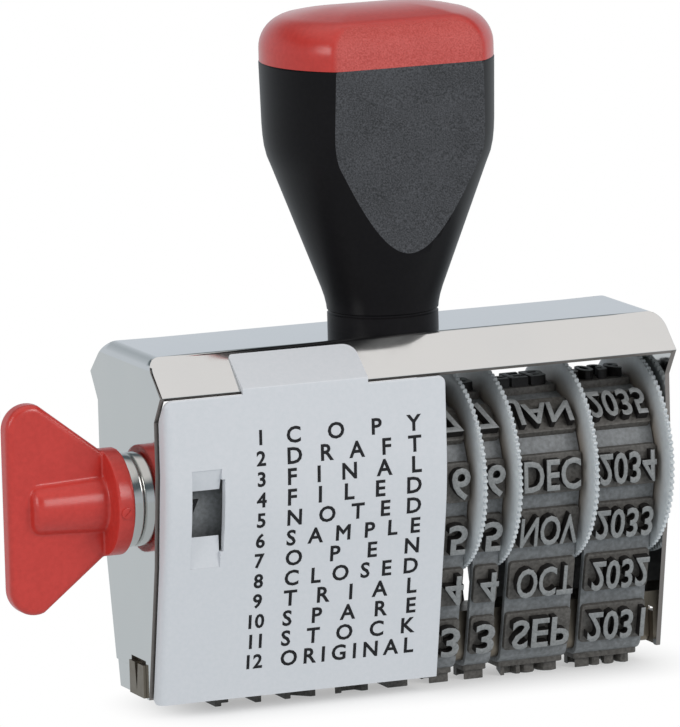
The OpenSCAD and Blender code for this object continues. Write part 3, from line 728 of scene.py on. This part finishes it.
# %% Cover outline as a solid
COVER_X0, COVER_X1 = -33.75, 3.0
COVER_TOP, COVER_FOOT = 40.4, 2.0
COVER_Y = -12.3
CURVE_Z, CURVE_R, CURVE_STEPS = 31.4, 43.0, 10
COVER_LEAN = math.radians(11.3)
PLATE_GAP, FLANGE_GAP = 0.35, 0.1
CORNER_R, EDGE_R = 1.0, 0.25
LEAN_Z = CURVE_Z - CURVE_R * math.sin(COVER_LEAN)
LEAN_Y = COVER_Y + CURVE_R * (1 - math.cos(COVER_LEAN))


def face_y(z):
    if z > CURVE_Z:
        return COVER_Y
    if z > LEAN_Z:
        return COVER_Y + CURVE_R - math.sqrt(CURVE_R ** 2 - (CURVE_Z - z) ** 2)
    return LEAN_Y + (LEAN_Z - z) * math.tan(COVER_LEAN)


def face_lean(z):
    if z > CURVE_Z:
        return 0.0
    return COVER_LEAN if z < LEAN_Z else math.asin((CURVE_Z - z) / CURVE_R)


def at_cover_top(a, b):
    return min(a.z, b.z) > COVER_TOP - NEAR


def round_the_face(a, b):
    on_face = all(abs(p.y - face_y(p.z)) < 2 * NEAR for p in (a, b))
    return on_face and (abs(a.x - b.x) < 2 or at_cover_top(a, b))


front_z = [CURVE_Z - (CURVE_Z - LEAN_Z) * i / CURVE_STEPS for i in range(CURVE_STEPS + 1)]
outline = [(COVER_X0, face_y(z), z) for z in (COVER_TOP, *front_z, COVER_FOOT)]
outline += [(COVER_X0, -y - PLATE_GAP, z) for y, z in reversed(PLATE_HALF[2:])]
outline += [(COVER_X0, -FLANGE_Y - FLANGE_GAP, COVER_TOP)]
cover = prism("cover_moulding", outline, (COVER_X1 - COVER_X0, 0, 0))
round_off(cover, "EDGE", lambda a, b: at_cover_top(a, b) and abs(a.x - b.x) < NEAR, CORNER_R, 6)
print("cover corners on", round_off(cover, "EDGE", round_the_face, EDGE_R, 4), "edges")

# %% [markdown]
# The cover's left edge is rolled back further than the others, and less at the upper corner. The face is cut
# into columns there, and each column moves back by what a larger rounding asks for. The open sides are then
# deleted, and the rest gets its wall.

# %% Rolled edge and wall of the cover
ROLL_R, ROLL_STEPS = 1.1, (0.35, 0.5, 0.7, 0.9, 1.1)
ROLL_TOP, ROLL_TOP_SHARE = 38.3, 0.35
COVER_WALL, COVER_EDGE = 1.0, 0.12
COVER_MIDDLE = (COVER_X0 + COVER_X1) / 2
FRONTAL, BACKWARDS, LEVEL = NEAR - math.cos(COVER_LEAN), 0.25, 0.9


def drop(radius, inwards):
    """How far a rounded edge falls back, at a distance inwards from its side."""
    return radius - math.sqrt(radius ** 2 - max(radius - inwards, 0) ** 2)


def in_roll(p):
    return p.x < COVER_X0 + ROLL_R - MERGE and p.y < face_y(p.z) + EDGE_R + 0.05


def in_column(p, x, above):
    return in_roll(p) and abs(p.x - x) < MERGE and (p.z > ROLL_TOP + NEAR) == above


slice_faces(cover, lambda c, n: True, (0, 0, ROLL_TOP), (0, 0, 1))
for inwards in ROLL_STEPS:
    slice_faces(cover, lambda c, n: n.y < FRONTAL, (COVER_X0 + inwards, 0, 0), (1, 0, 0))
columns = {round(v.co.x / MM, 3) for v in cover.data.vertices if in_roll(v.co / MM)}
for x in sorted(columns):
    back_by = drop(ROLL_R, x - COVER_X0) - drop(EDGE_R, x - COVER_X0)
    for above, share in ((False, 1), (True, ROLL_TOP_SHARE)):
        if pick(cover, "VERT", lambda p: in_column(p, x, above)):
            bpy.ops.transform.translate(value=(0, share * back_by * MM, 0))
        leave()
print("left edge rolled back in", len(columns), "columns")
pick(cover, "FACE", lambda c, n: n.y > BACKWARDS or (abs(n.z) > LEVEL and abs(c.x - COVER_MIDDLE) < 5))
bpy.ops.mesh.delete(type="FACE")
leave()
modify(cover, "SOLIDIFY", thickness=COVER_WALL * MM, offset=-1)
soften(cover, COVER_EDGE, 1, 60)

# %% [markdown]
# A broad tab runs from the cover up over the flange and grips it. It is flush with the steel at its upper
# end and stands proud at its foot, so it is a thin wedge with two rounded corners, joined to the shell.

# %% Tab over the flange
HOOK_X0, HOOK_L, HOOK_SHORT = -23.65, 16.4, 0.75
HOOK_LOW, CREASE_Z = COVER_TOP - 0.6, FLANGE_Z + 0.35
TIP_T, HOOK_GAP, CREASE_R = 0.16, 0.02, 0.12
HOOK_CORNERS = ((HOOK_X0, 0.5), (HOOK_X0 + HOOK_L, 1.6))
flange_out = Vector((-flange_dir.y, flange_dir.x))
flange_foot = Vector((-FLANGE_Y, FLANGE_Z))
tip = flange_foot + (flange_len - HOOK_SHORT) * flange_dir
gap = HOOK_GAP * flange_out
wedge = [
    Vector((COVER_Y, HOOK_LOW)), Vector((COVER_Y, CREASE_Z)), tip + TIP_T * flange_out, tip + gap,
    flange_foot + gap, Vector((-FLANGE_Y - HOOK_GAP, HOOK_LOW)),
]


def tip_corner(a, b, x):
    return max(abs(a.x - x), abs(b.x - x)) < NEAR and min(a.z, b.z) > tip.y - 0.2


def crease(a, b):
    return abs(a.x - b.x) > 10 and abs(a.y - COVER_Y) < NEAR and abs(a.z - CREASE_Z) < NEAR


hook = prism("cover_tab", [(HOOK_X0, p.x, p.y) for p in wedge], (HOOK_L, 0, 0))
for end_x, corner_r in HOOK_CORNERS:
    round_off(hook, "EDGE", lambda a, b: tip_corner(a, b, end_x), corner_r, 6)
round_off(hook, "EDGE", crease, CREASE_R, 2)
combine(cover, hook, "UNION")
print("tab joined to the cover,", len(cover.data.polygons), "faces")

# %% [markdown]
# The sight window shows the index number on the phrase band. A sill slopes in above and below the opening,
# and a slit runs down its right side. One boolean cut with the window's own outline makes the sills and
# the opening, and a second cut makes the slit.

# %% Sight window
WIN_X, WIN_W, SLIT_W = -30.55, 4.3, 0.4
WIN_LOW, WIN_HIGH, SILL, SILL_LOW = 23.1, 28.9, 2.6, 3.9
SILL_STEP, CLEAR = 0.12, 1
sill_top, sill_foot = WIN_HIGH + SILL, WIN_LOW - SILL_LOW
through = 2 * COVER_WALL
window = [
    (-CLEAR, sill_top), (SILL_STEP, sill_top), (COVER_WALL, WIN_HIGH), (through, WIN_HIGH),
    (through, WIN_LOW), (COVER_WALL, WIN_LOW), (SILL_STEP, sill_foot), (-CLEAR, sill_foot),
]
cutter = prism("window_cut", [(WIN_X, face_y(z) + depth, z) for depth, z in window], (WIN_W - SLIT_W, 0, 0))
combine(cover, cutter, "DIFFERENCE")
slit_x, slit_top, slit_foot = WIN_X + WIN_W - SLIT_W - NEAR, WIN_HIGH + SILL / 2, WIN_LOW - SILL_LOW / 2
slit = [(-CLEAR, slit_top), (through + CLEAR, slit_top), (through + CLEAR, slit_foot), (-CLEAR, slit_foot)]
cutter = prism("slit_cut", [(slit_x, COVER_Y + depth, z) for depth, z in slit], (SLIT_W, 0, 0))
combine(cover, cutter, "DIFFERENCE")
hand_over(cover, "frame", white_abs, ["phrase_cover"], broad=True)

# %% [markdown]
# Lettering is typed as a text object, spaced, and turned into a mesh. The text is made at any size first and
# measured, and then brought to its height and, where it has to fill a place, to its width.

# %% Helpers for lettering
TYPED_SIZE, CURVE_POINTS = 10, 3


def lettering(name, body, height, depth, slope, rise, spaced=None, filled=None):
    """A mesh of the text, centred on the origin in X and Y, with its back at Z = 0. Its sides slope out by
    the slope, over the rise. The letters are spaced to a width, if any, and then stretched to another."""
    bpy.ops.object.select_all(action="DESELECT")
    bpy.ops.object.text_add()
    text = bpy.context.object
    text.name = name
    text.data.body = body
    text.data.size = TYPED_SIZE * MM
    text.data.resolution_u = CURVE_POINTS
    bpy.context.view_layer.update()
    scale = height * MM / text.dimensions.y
    if spaced:
        narrow = text.dimensions.x * scale
        text.data.space_character = 2.0
        bpy.context.view_layer.update()
        text.data.space_character = 1 + (spaced * MM - narrow) / (text.dimensions.x * scale - narrow)
        bpy.context.view_layer.update()
    wide = filled * MM / text.dimensions.x if filled else scale
    tall = scale * rise / slope
    text.data.bevel_depth = slope * MM / scale
    text.data.bevel_resolution = 0
    text.data.extrude = (depth / 2 - rise) * MM / tall
    bpy.ops.object.convert(target="MESH")
    piece = bpy.context.object
    middle = sum((Vector(c) for c in piece.bound_box), Vector()) / 8
    lift = Matrix.Translation((0, 0, depth * MM / 2))
    piece.data.transform(lift @ Matrix.Diagonal((wide, scale, tall, 1)) @ Matrix.Translation(-middle))
    tidy_normals()
    return piece


def join(name, parts):
    bpy.ops.object.select_all(action="DESELECT")
    for part in parts:
        part.select_set(True)
    bpy.context.view_layer.objects.active = parts[0]
    bpy.ops.object.join()
    parts[0].name = name
    return parts[0]


# %% [markdown]
# The cover carries a printed list: an index number and a word on each of twelve rows, so the user knows
# which number in the window stands for which word. The words are spread to one common width, and each row
# is laid on the leaning face and sunk by half the thickness of the ink.

# %% Printed list on the cover
WORDS = [
    "COPY", "DRAFT", "FINAL", "FILED", "NOTED", "SAMPLE",
    "OPEN", "CLOSED", "TRIAL", "SPARE", "STOCK", "ORIGINAL",
]
ROW_Z, ROW_PITCH = 34.9, 2.58
WORD_X0, WORD_X1, WORD_H = -18.0, -0.5, 1.95
NUMBER_X, NUMBER_H = -21.5, 1.75
PRINT_T, PRINT_BOLD, PRINT_RISE = 0.1, 0.07, 0.045
rows = []
for i, word in enumerate(WORDS):
    z = ROW_Z - i * ROW_PITCH
    lean = face_lean(z)
    turn = Matrix((
        (1, 0, 0),
        (0, -math.sin(lean), math.cos(lean)),
        (0, -math.cos(lean), -math.sin(lean)),
    )).transposed().to_4x4()
    sink = Vector((0, math.cos(lean), math.sin(lean))) * PRINT_T / 2
    for text, x, height, width in (
        (word, (WORD_X0 + WORD_X1) / 2, WORD_H, WORD_X1 - WORD_X0),
        (str(i + 1), NUMBER_X, NUMBER_H, None),
    ):
        row = lettering("print_row", text, height, PRINT_T, PRINT_BOLD, PRINT_RISE, spaced=width)
        row.data.transform(Matrix.Translation((Vector((x, face_y(z), z)) + sink) * MM) @ turn)
        rows.append(row)
hand_over(join("cover_print", rows), "frame", ink, [])

# %% [markdown]
# The wing knob is one moulding: a flat wing, a round boss on it and a collar at its foot. Each part is
# made on its own, they are united, and a voxel remesh with some smoothing then rounds every edge and
# fills every inner corner, as a mould does.

# %% Wing knob
def turned(name, line, steps):
    """A line of places along X and radii, spun round the axis of the wheels."""
    return lathe(name, [(x, 0, AXIS_Z + r) for x, r in line], (0, 0, AXIS_Z), (1, 0, 0), steps)


WING_X, WING_T, WING_R, WING_HALF, WING_EDGE = -50.2, 3.0, 3.2, 13.0, 0.8
WING_STEPS = 10
COLLAR_R, COLLAR_X0, COLLAR_X1, SUNK = 6.6, -37.9, -35.8, 0.3
BOSS_END, BOSS_ROOT_R, BOSS_R, BOSS_FLAT_R, BOSS_ROUND = -47.5, 3.7, 3.4, 2.2, 1.2
VOXEL, SMOOTHINGS, KEPT_SHARE = 0.15, 5, 0.4
tip_x, tip_h = WING_X + WING_R, WING_HALF - WING_R
root_x, root_h = COLLAR_X0 + SUNK, COLLAR_R - SUNK
slope = math.atan2(root_h - tip_h, root_x - tip_x)
arc = [slope + math.pi / 2 + (math.pi / 2 - slope) * i / WING_STEPS for i in range(WING_STEPS + 1)]
upper = [(root_x, root_h)] + [(tip_x + WING_R * math.cos(a), tip_h + WING_R * math.sin(a)) for a in arc]
wing_line = upper + [(x, -h) for x, h in reversed(upper)]
knob = prism("wing_knob_moulding", [(x, -WING_T / 2, AXIS_Z + h) for x, h in wing_line], (0, WING_T, 0))
round_off(knob, "EDGE", lambda a, b: abs(a.y - b.y) < NEAR, WING_EDGE, 4)
round_x = BOSS_END + BOSS_ROUND
boss_line = [(root_x, 0), (root_x, BOSS_ROOT_R), (round_x, BOSS_R)]
boss_line += [
    (round_x - BOSS_ROUND * math.sin(a), BOSS_FLAT_R + BOSS_ROUND * math.cos(a))
    for a in (math.radians(15 * i) for i in range(1, 7))
]
boss_line += [(BOSS_END, 0)]
collar_line = [(COLLAR_X0, 0), (COLLAR_X0, COLLAR_R), (COLLAR_X1, COLLAR_R), (COLLAR_X1, 0)]
boss = turned("boss", boss_line, 64)
collar = turned("collar", collar_line, 96)
combine(knob, boss, "UNION")
combine(knob, collar, "UNION")
modify(knob, "REMESH", mode="VOXEL", voxel_size=VOXEL * MM)
modify(knob, "SMOOTH", factor=0.5, iterations=SMOOTHINGS)
modify(knob, "DECIMATE", ratio=KEPT_SHARE)
print("knob rounded,", len(knob.data.polygons), "faces")

# %% [markdown]
# A small round pip with a slanting nick stands on the front of the collar. The pip is a short cylinder with
# a bevelled edge, and the nick is cut with a thin bar.

# %% Pip on the knob's collar
PIP_X, PIP_Z, PIP_R, PIP_T, PIP_EDGE = -36.9, AXIS_Z - 0.4, 0.7, 0.5, 0.06
PIP_Y, NICK_Y = -COLLAR_R + 0.08, -COLLAR_R - 0.17
NICK = (1.1, 0.16, 0.16)
bpy.ops.object.select_all(action="DESELECT")
bpy.ops.mesh.primitive_cylinder_add(radius=PIP_R * MM, depth=PIP_T * MM, vertices=32)
pip = bpy.context.object
pip.rotation_euler = (math.radians(90), 0, 0)
pip.location = Vector((PIP_X, PIP_Y, PIP_Z)) * MM
bpy.ops.object.transform_apply(location=True, rotation=True, scale=True)
modify(pip, "BEVEL", width=PIP_EDGE * MM, segments=2)
combine(knob, pip, "UNION")
bpy.ops.object.select_all(action="DESELECT")
bpy.ops.mesh.primitive_cube_add(size=1)
nick = bpy.context.object
nick.dimensions = Vector(NICK) * MM
nick.rotation_euler = (0, math.radians(-45), 0)
nick.location = Vector((PIP_X, NICK_Y, PIP_Z)) * MM
bpy.ops.object.transform_apply(location=True, rotation=True, scale=True)
combine(knob, nick, "DIFFERENCE")
hand_over(knob, "phrase_dial", red_abs, ["wing_knob"])

# %% [markdown]
# A steel bush carries the knob's spindle in the end plate. It is turned from bar, so a spun outline is all
# it needs: a plain ring with a rounded shoulder at the plate, and a neck that is swaged behind it.

# %% Bush
BUSH = [
    (-35.65, 3.95), (-35.65, 5.65), (-35.5, 5.8), (-34.55, 5.8), (-34.4, 5.76), (-34.28, 5.66), (-34.2, 5.5),
    (-34.2, 4.7), (-33.6, 4.7), (-33.6, 5.85), (-33.45, 6.0), (-33.15, 6.0), (-33.0, 5.85), (-33.0, 3.95),
    (-35.65, 3.95),
]
hand_over(turned("turned_bush", BUSH, 96), "frame", nickel, ["knob_bush"])

# %% [markdown]
# Four thumbwheels turn the date bands. Each is a drum with a toothed rim at its right end, moulded in one.
# The rim's left side is a smooth slope. The outline is spun in four steps for each tooth, and two of every
# four rows of the rim's highest points are then drawn in. That leaves short teeth along the right edge.

# %% Thumbwheels
TEETH, TOOTH, EDGE_BAND = 96, 0.4, 0.12
RIM_R, RIM_T, DRUM_R, BORE_R, DRUM_EDGE = 12.9, 0.8, 8.2, 1.55, 0.15
WHEELS = {
    "day_tens": (3.5, 8.1),
    "day_units": (8.2, 12.8),
    "month": (12.9, 23.1),
    "year": (23.2, 33.2),
}


def between_teeth(p):
    step = round(math.atan2(p.z - AXIS_Z, p.y) / math.pi * 2 * TEETH)
    return math.hypot(p.y, p.z - AXIS_Z) > RIM_R - EDGE_BAND and step % 4 < 2


pull = 1 - TOOTH / RIM_R
for name, (x0, x1) in WHEELS.items():
    xr = x1 - RIM_T
    line = [
        (x0, BORE_R), (x0, DRUM_R - DRUM_EDGE), (x0 + DRUM_EDGE, DRUM_R), (xr, DRUM_R), (xr, 12.2),
        (xr + 0.08, 12.5), (xr + 0.18, 12.75), (xr + 0.28, RIM_R), (x1 - 0.1, RIM_R),
        (x1 - 0.03, RIM_R - 0.1), (x1, 12.3), (x1, BORE_R), (x0, BORE_R),
    ]
    wheel = turned(name + "_thumbwheel", line, 4 * TEETH)
    pick(wheel, "VERT", between_teeth)
    bpy.ops.transform.resize(value=(1, pull, pull), center_override=(0, 0, AXIS_Z * MM))
    leave()
    hand_over(wheel, name + "_dial", nylon, [name + "_wheel"])

# %% [markdown]
# A type band is a rubber belt round the wheel's drum and the rail, with a row of pads on it and raised type
# on each pad. The loop runs under the rail, up the front, over the drum and down the back. A function gives
# the place and the outward angle at any distance along it, and everything on the band is placed with it.

# %% Path of the bands
LOOP_R, CORNER_Y, CORNER_Z, TURN_R, BELT = 8.35, 1.8, 3.72, 1.22, 0.7
PITCH_LINE = BELT / 2
PADS = 12
centre_d = math.hypot(CORNER_Y, AXIS_Z - CORNER_Z)
LEAN = math.asin((LOOP_R - TURN_R) / centre_d) - math.atan2(CORNER_Y, AXIS_Z - CORNER_Z)
RUN = math.sqrt(centre_d ** 2 - (LOOP_R - TURN_R) ** 2)
CORNER_ARC = (TURN_R + PITCH_LINE) * (math.pi / 2 - LEAN)
DRUM_ARC = (LOOP_R + PITCH_LINE) * (math.pi / 2 + LEAN)
HALF_LOOP = CORNER_Y + CORNER_ARC + RUN + DRUM_ARC
PAD_PITCH = 2 * HALF_LOOP / PADS


def around(y, z, r, a):
    return Vector((y + r * math.cos(a), z + r * math.sin(a)))


def band_place(s):
    """The point (Y, Z) on the pitch line and the outward angle there. The distance s starts under the rail
    and goes up the front."""
    s = (s + HALF_LOOP) % (2 * HALF_LOOP) - HALF_LOOP
    d = abs(s)
    if d < CORNER_Y:
        point, a = Vector((-d, CORNER_Z - TURN_R - PITCH_LINE)), 1.5 * math.pi
    elif d < CORNER_Y + CORNER_ARC:
        a = 1.5 * math.pi - (d - CORNER_Y) / (TURN_R + PITCH_LINE)
        point = around(-CORNER_Y, CORNER_Z, TURN_R + PITCH_LINE, a)
    elif d < CORNER_Y + CORNER_ARC + RUN:
        a = math.pi + LEAN
        along = d - CORNER_Y - CORNER_ARC
        point = around(-CORNER_Y, CORNER_Z, TURN_R + PITCH_LINE, a)
        point += along * Vector((-math.sin(LEAN), math.cos(LEAN)))
    else:
        a = math.pi + LEAN - (d - CORNER_Y - CORNER_ARC - RUN) / (LOOP_R + PITCH_LINE)
        point = around(0, AXIS_Z, LOOP_R + PITCH_LINE, a)
    if s < 0:
        return Vector((-point.x, point.y)), math.pi - a
    return point, a


def on_band(x, s, height):
    """The matrix that stands a piece on the band: X along the wheel, Y along the band, Z outwards."""
    point, a = band_place(s)
    out = Vector((0, math.cos(a), math.sin(a)))
    along = out.cross(Vector((1, 0, 0)))
    spot = Vector((x, point.x, point.y)) + height * out
    turn = Matrix((Vector((1, 0, 0)), along, out)).transposed().to_4x4()
    return Matrix.Translation(spot * MM) @ turn


print("band length", round(2 * HALF_LOOP, 2), "mm, pads every", round(PAD_PITCH, 2), "mm")

# %% [markdown]
# The belt is a ribbon: the loop is drawn once at the belt's inner side, pulled to the band's width, and
# thickened outwards. One pad is made from a cube with rounded corners and copied to its twelve places.

# %% Belt and pad
CORNER_STEPS, DRUM_STEPS, BELT_EDGE = 6, 24, 0.08
PAD_L, PAD_H, PAD_CORNER, PAD_EDGE = 5.0, 0.6, 0.45, 0.12
PAD_TOP = BELT - PITCH_LINE + PAD_H


def belt_ribbon(x0, width):
    front = [
        around(-CORNER_Y, CORNER_Z, TURN_R, 1.5 * math.pi - (math.pi / 2 - LEAN) * i / CORNER_STEPS)
        for i in range(CORNER_STEPS + 1)
    ]
    front += [
        around(0, AXIS_Z, LOOP_R, math.pi + LEAN - (math.pi / 2 + LEAN) * i / (DRUM_STEPS + 0.5))
        for i in range(DRUM_STEPS + 1)
    ]
    loop = front + [Vector((-p.x, p.y)) for p in reversed(front)]
    belt = draw("belt", [(x0, p.x, p.y) for p in loop], closed=True)
    bpy.ops.mesh.extrude_edges_move(TRANSFORM_OT_translate={"value": (width * MM, 0, 0)})
    tidy_normals()
    highest = max(belt.data.polygons, key=lambda f: f.center.z)
    if highest.normal.z < 0:
        pick(belt, "FACE", lambda c, n: True)
        bpy.ops.mesh.flip_normals()
        leave()
    modify(belt, "SOLIDIFY", thickness=BELT * MM, offset=1, use_even_offset=True)
    soften(belt, BELT_EDGE, 2, 60)
    return belt


def rubber_pad(width):
    bpy.ops.object.select_all(action="DESELECT")
    bpy.ops.mesh.primitive_cube_add(size=1, location=(0, 0, PAD_TOP / 2 * MM))
    pad = bpy.context.object
    pad.name = "pad"
    pad.dimensions = Vector((width, PAD_L, PAD_TOP)) * MM
    bpy.ops.object.transform_apply(location=True, rotation=True, scale=True)
    round_off(pad, "EDGE", lambda a, b: abs(a.z - b.z) > PAD_H / 2, PAD_CORNER, 3)
    round_off(pad, "FACE", lambda c, n: n.z > FACING, PAD_EDGE, 2)
    return pad


# %% [markdown]
# The type is text that is squeezed to fill its pad, turned over so that it prints the right way, and raised.
# Its root goes a little into the pad, and its printing faces get a finish of their own.

# %% A whole band
TYPE_L, TYPE_H, PAD_STEP = 4.0, 1.2, 0.1
TYPE_BOLD, TYPE_EDGE, TYPE_ROOT = 0.1, 0.06, 0.2


def copy_of(piece, name):
    twin = bpy.data.objects.new(name, piece.data.copy())
    bpy.context.scene.collection.objects.link(twin)
    return twin


def type_band(name, x0, width, left, legends, spans, nodes):
    """A belt with its pads and type, right of a bare margin. The spans are the width that each legend is
    spaced to, if any, and the width that it is then stretched to."""
    belt = belt_ribbon(x0, width)
    paint(belt, rubber_belt)
    parts = [belt]
    master = rubber_pad(width - left - 2 * PAD_STEP)
    paint(master, rubber_base)
    pad_x = x0 + left + width / 2 - left / 2
    spaced, filled = spans
    turned_over = Matrix.Diagonal((1, -1, 1, 1))
    for k, legend in enumerate(legends):
        pad = copy_of(master, "pad")
        pad.data.transform(on_band(pad_x, k * PAD_PITCH, 0))
        glyphs = lettering(
            "type", legend, TYPE_L - 2 * TYPE_BOLD, TYPE_H + TYPE_ROOT, TYPE_BOLD, TYPE_EDGE,
            spaced=spaced, filled=filled - 2 * TYPE_BOLD,
        )
        # Type sides get ink and painted shade, but on the pad at the paper they are painted lighter for the
        # floor's light.
        paint(glyphs, rubber_inked_and_shaded if k else rubber_base, rubber_type)
        for face in glyphs.data.polygons:
            face.material_index = int(face.normal.z > 0.5)
        glyphs.data.transform(on_band(pad_x, k * PAD_PITCH, PAD_TOP - TYPE_ROOT) @ turned_over)
        only(glyphs)
        tidy_normals()
        parts += [pad, glyphs]
    bpy.data.objects.remove(master)
    hand_over(join(name, parts), "frame", None, nodes)


# %% [markdown]
# The day bands carry single figures, the month band the months' short names and the year band plain years.
# Each row follows the one before it up the front, so on the real stamp, turning the front of a wheel down
# brings the next one under the rail.

# %% Date bands
DAYS = ["2", "3", "4", "5", "6", "7", "8", "9", "0", "1", "-", "/"]
MONTHS = ["AUG", "SEP", "OCT", "NOV", "DEC", "JAN", "FEB", "MAR", "APR", "MAY", "JUN", "JUL"]
YEARS = [str(2030 + i) for i in range(PADS)]
BAND_GAP = 0.2
BANDS = {
    "day_tens": (3.4, DAYS, 2.5),
    "day_units": (3.4, DAYS, 2.5),
    "month": (9.0, MONTHS, 7.7),
    "year": (8.8, YEARS, 7.8),
}
for name, (width, legends, filled) in BANDS.items():
    band_x0 = WHEELS[name][0] + BAND_GAP
    type_band(name + "_type", band_x0, width, 0, legends, (None, filled), [name + "_band"])

# %% [markdown]
# The phrase band is the widest. Its type says the same words as the list on the cover, and its left margin
# carries the index numbers that show in the sight window. The numbers are printed upright.

# %% Phrase band
PHRASE_X0, PHRASE_W, PHRASE_SPANS = -32.4, 34.2, (23.0, 25.6)
INDEX_MARGIN, INDEX_X, INDEX_H = 7.4, -29.3, 2.1
WINDOW_PAD, WINDOW_ROW = 4, 7
order = [(WINDOW_ROW - 1 + k - WINDOW_PAD) % PADS for k in range(PADS)]
phrases = [WORDS[i] for i in order]
type_band("phrase_type", PHRASE_X0, PHRASE_W, INDEX_MARGIN, phrases, PHRASE_SPANS, ["phrase_band"])
numbers = []
for k, i in enumerate(order):
    number = lettering("index", str(i + 1), INDEX_H, PRINT_T, PRINT_BOLD, PRINT_RISE)
    number.data.transform(on_band(INDEX_X, k * PAD_PITCH, BELT - PITCH_LINE - PRINT_T / 2))
    numbers.append(number)
hand_over(join("phrase_index_print", numbers), "frame", ink, [])

# %% [markdown]
# The remaining CAD solids have the right shape already: the rail under the bands, the axle, the spindle,
# the phrase drum and the handle's screw and washer. They only need a finish.

# %% Finishes on the plain CAD pieces
PLAIN = {
    "platen_rail": dull_steel, "axle": zinc, "knob_spindle": zinc, "handle_screw": zinc,
    "handle_washer": zinc, "phrase_drum": nylon,
}
for name, finish in PLAIN.items():
    paint(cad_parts[name], finish)
print("finished as they are:", list(PLAIN))
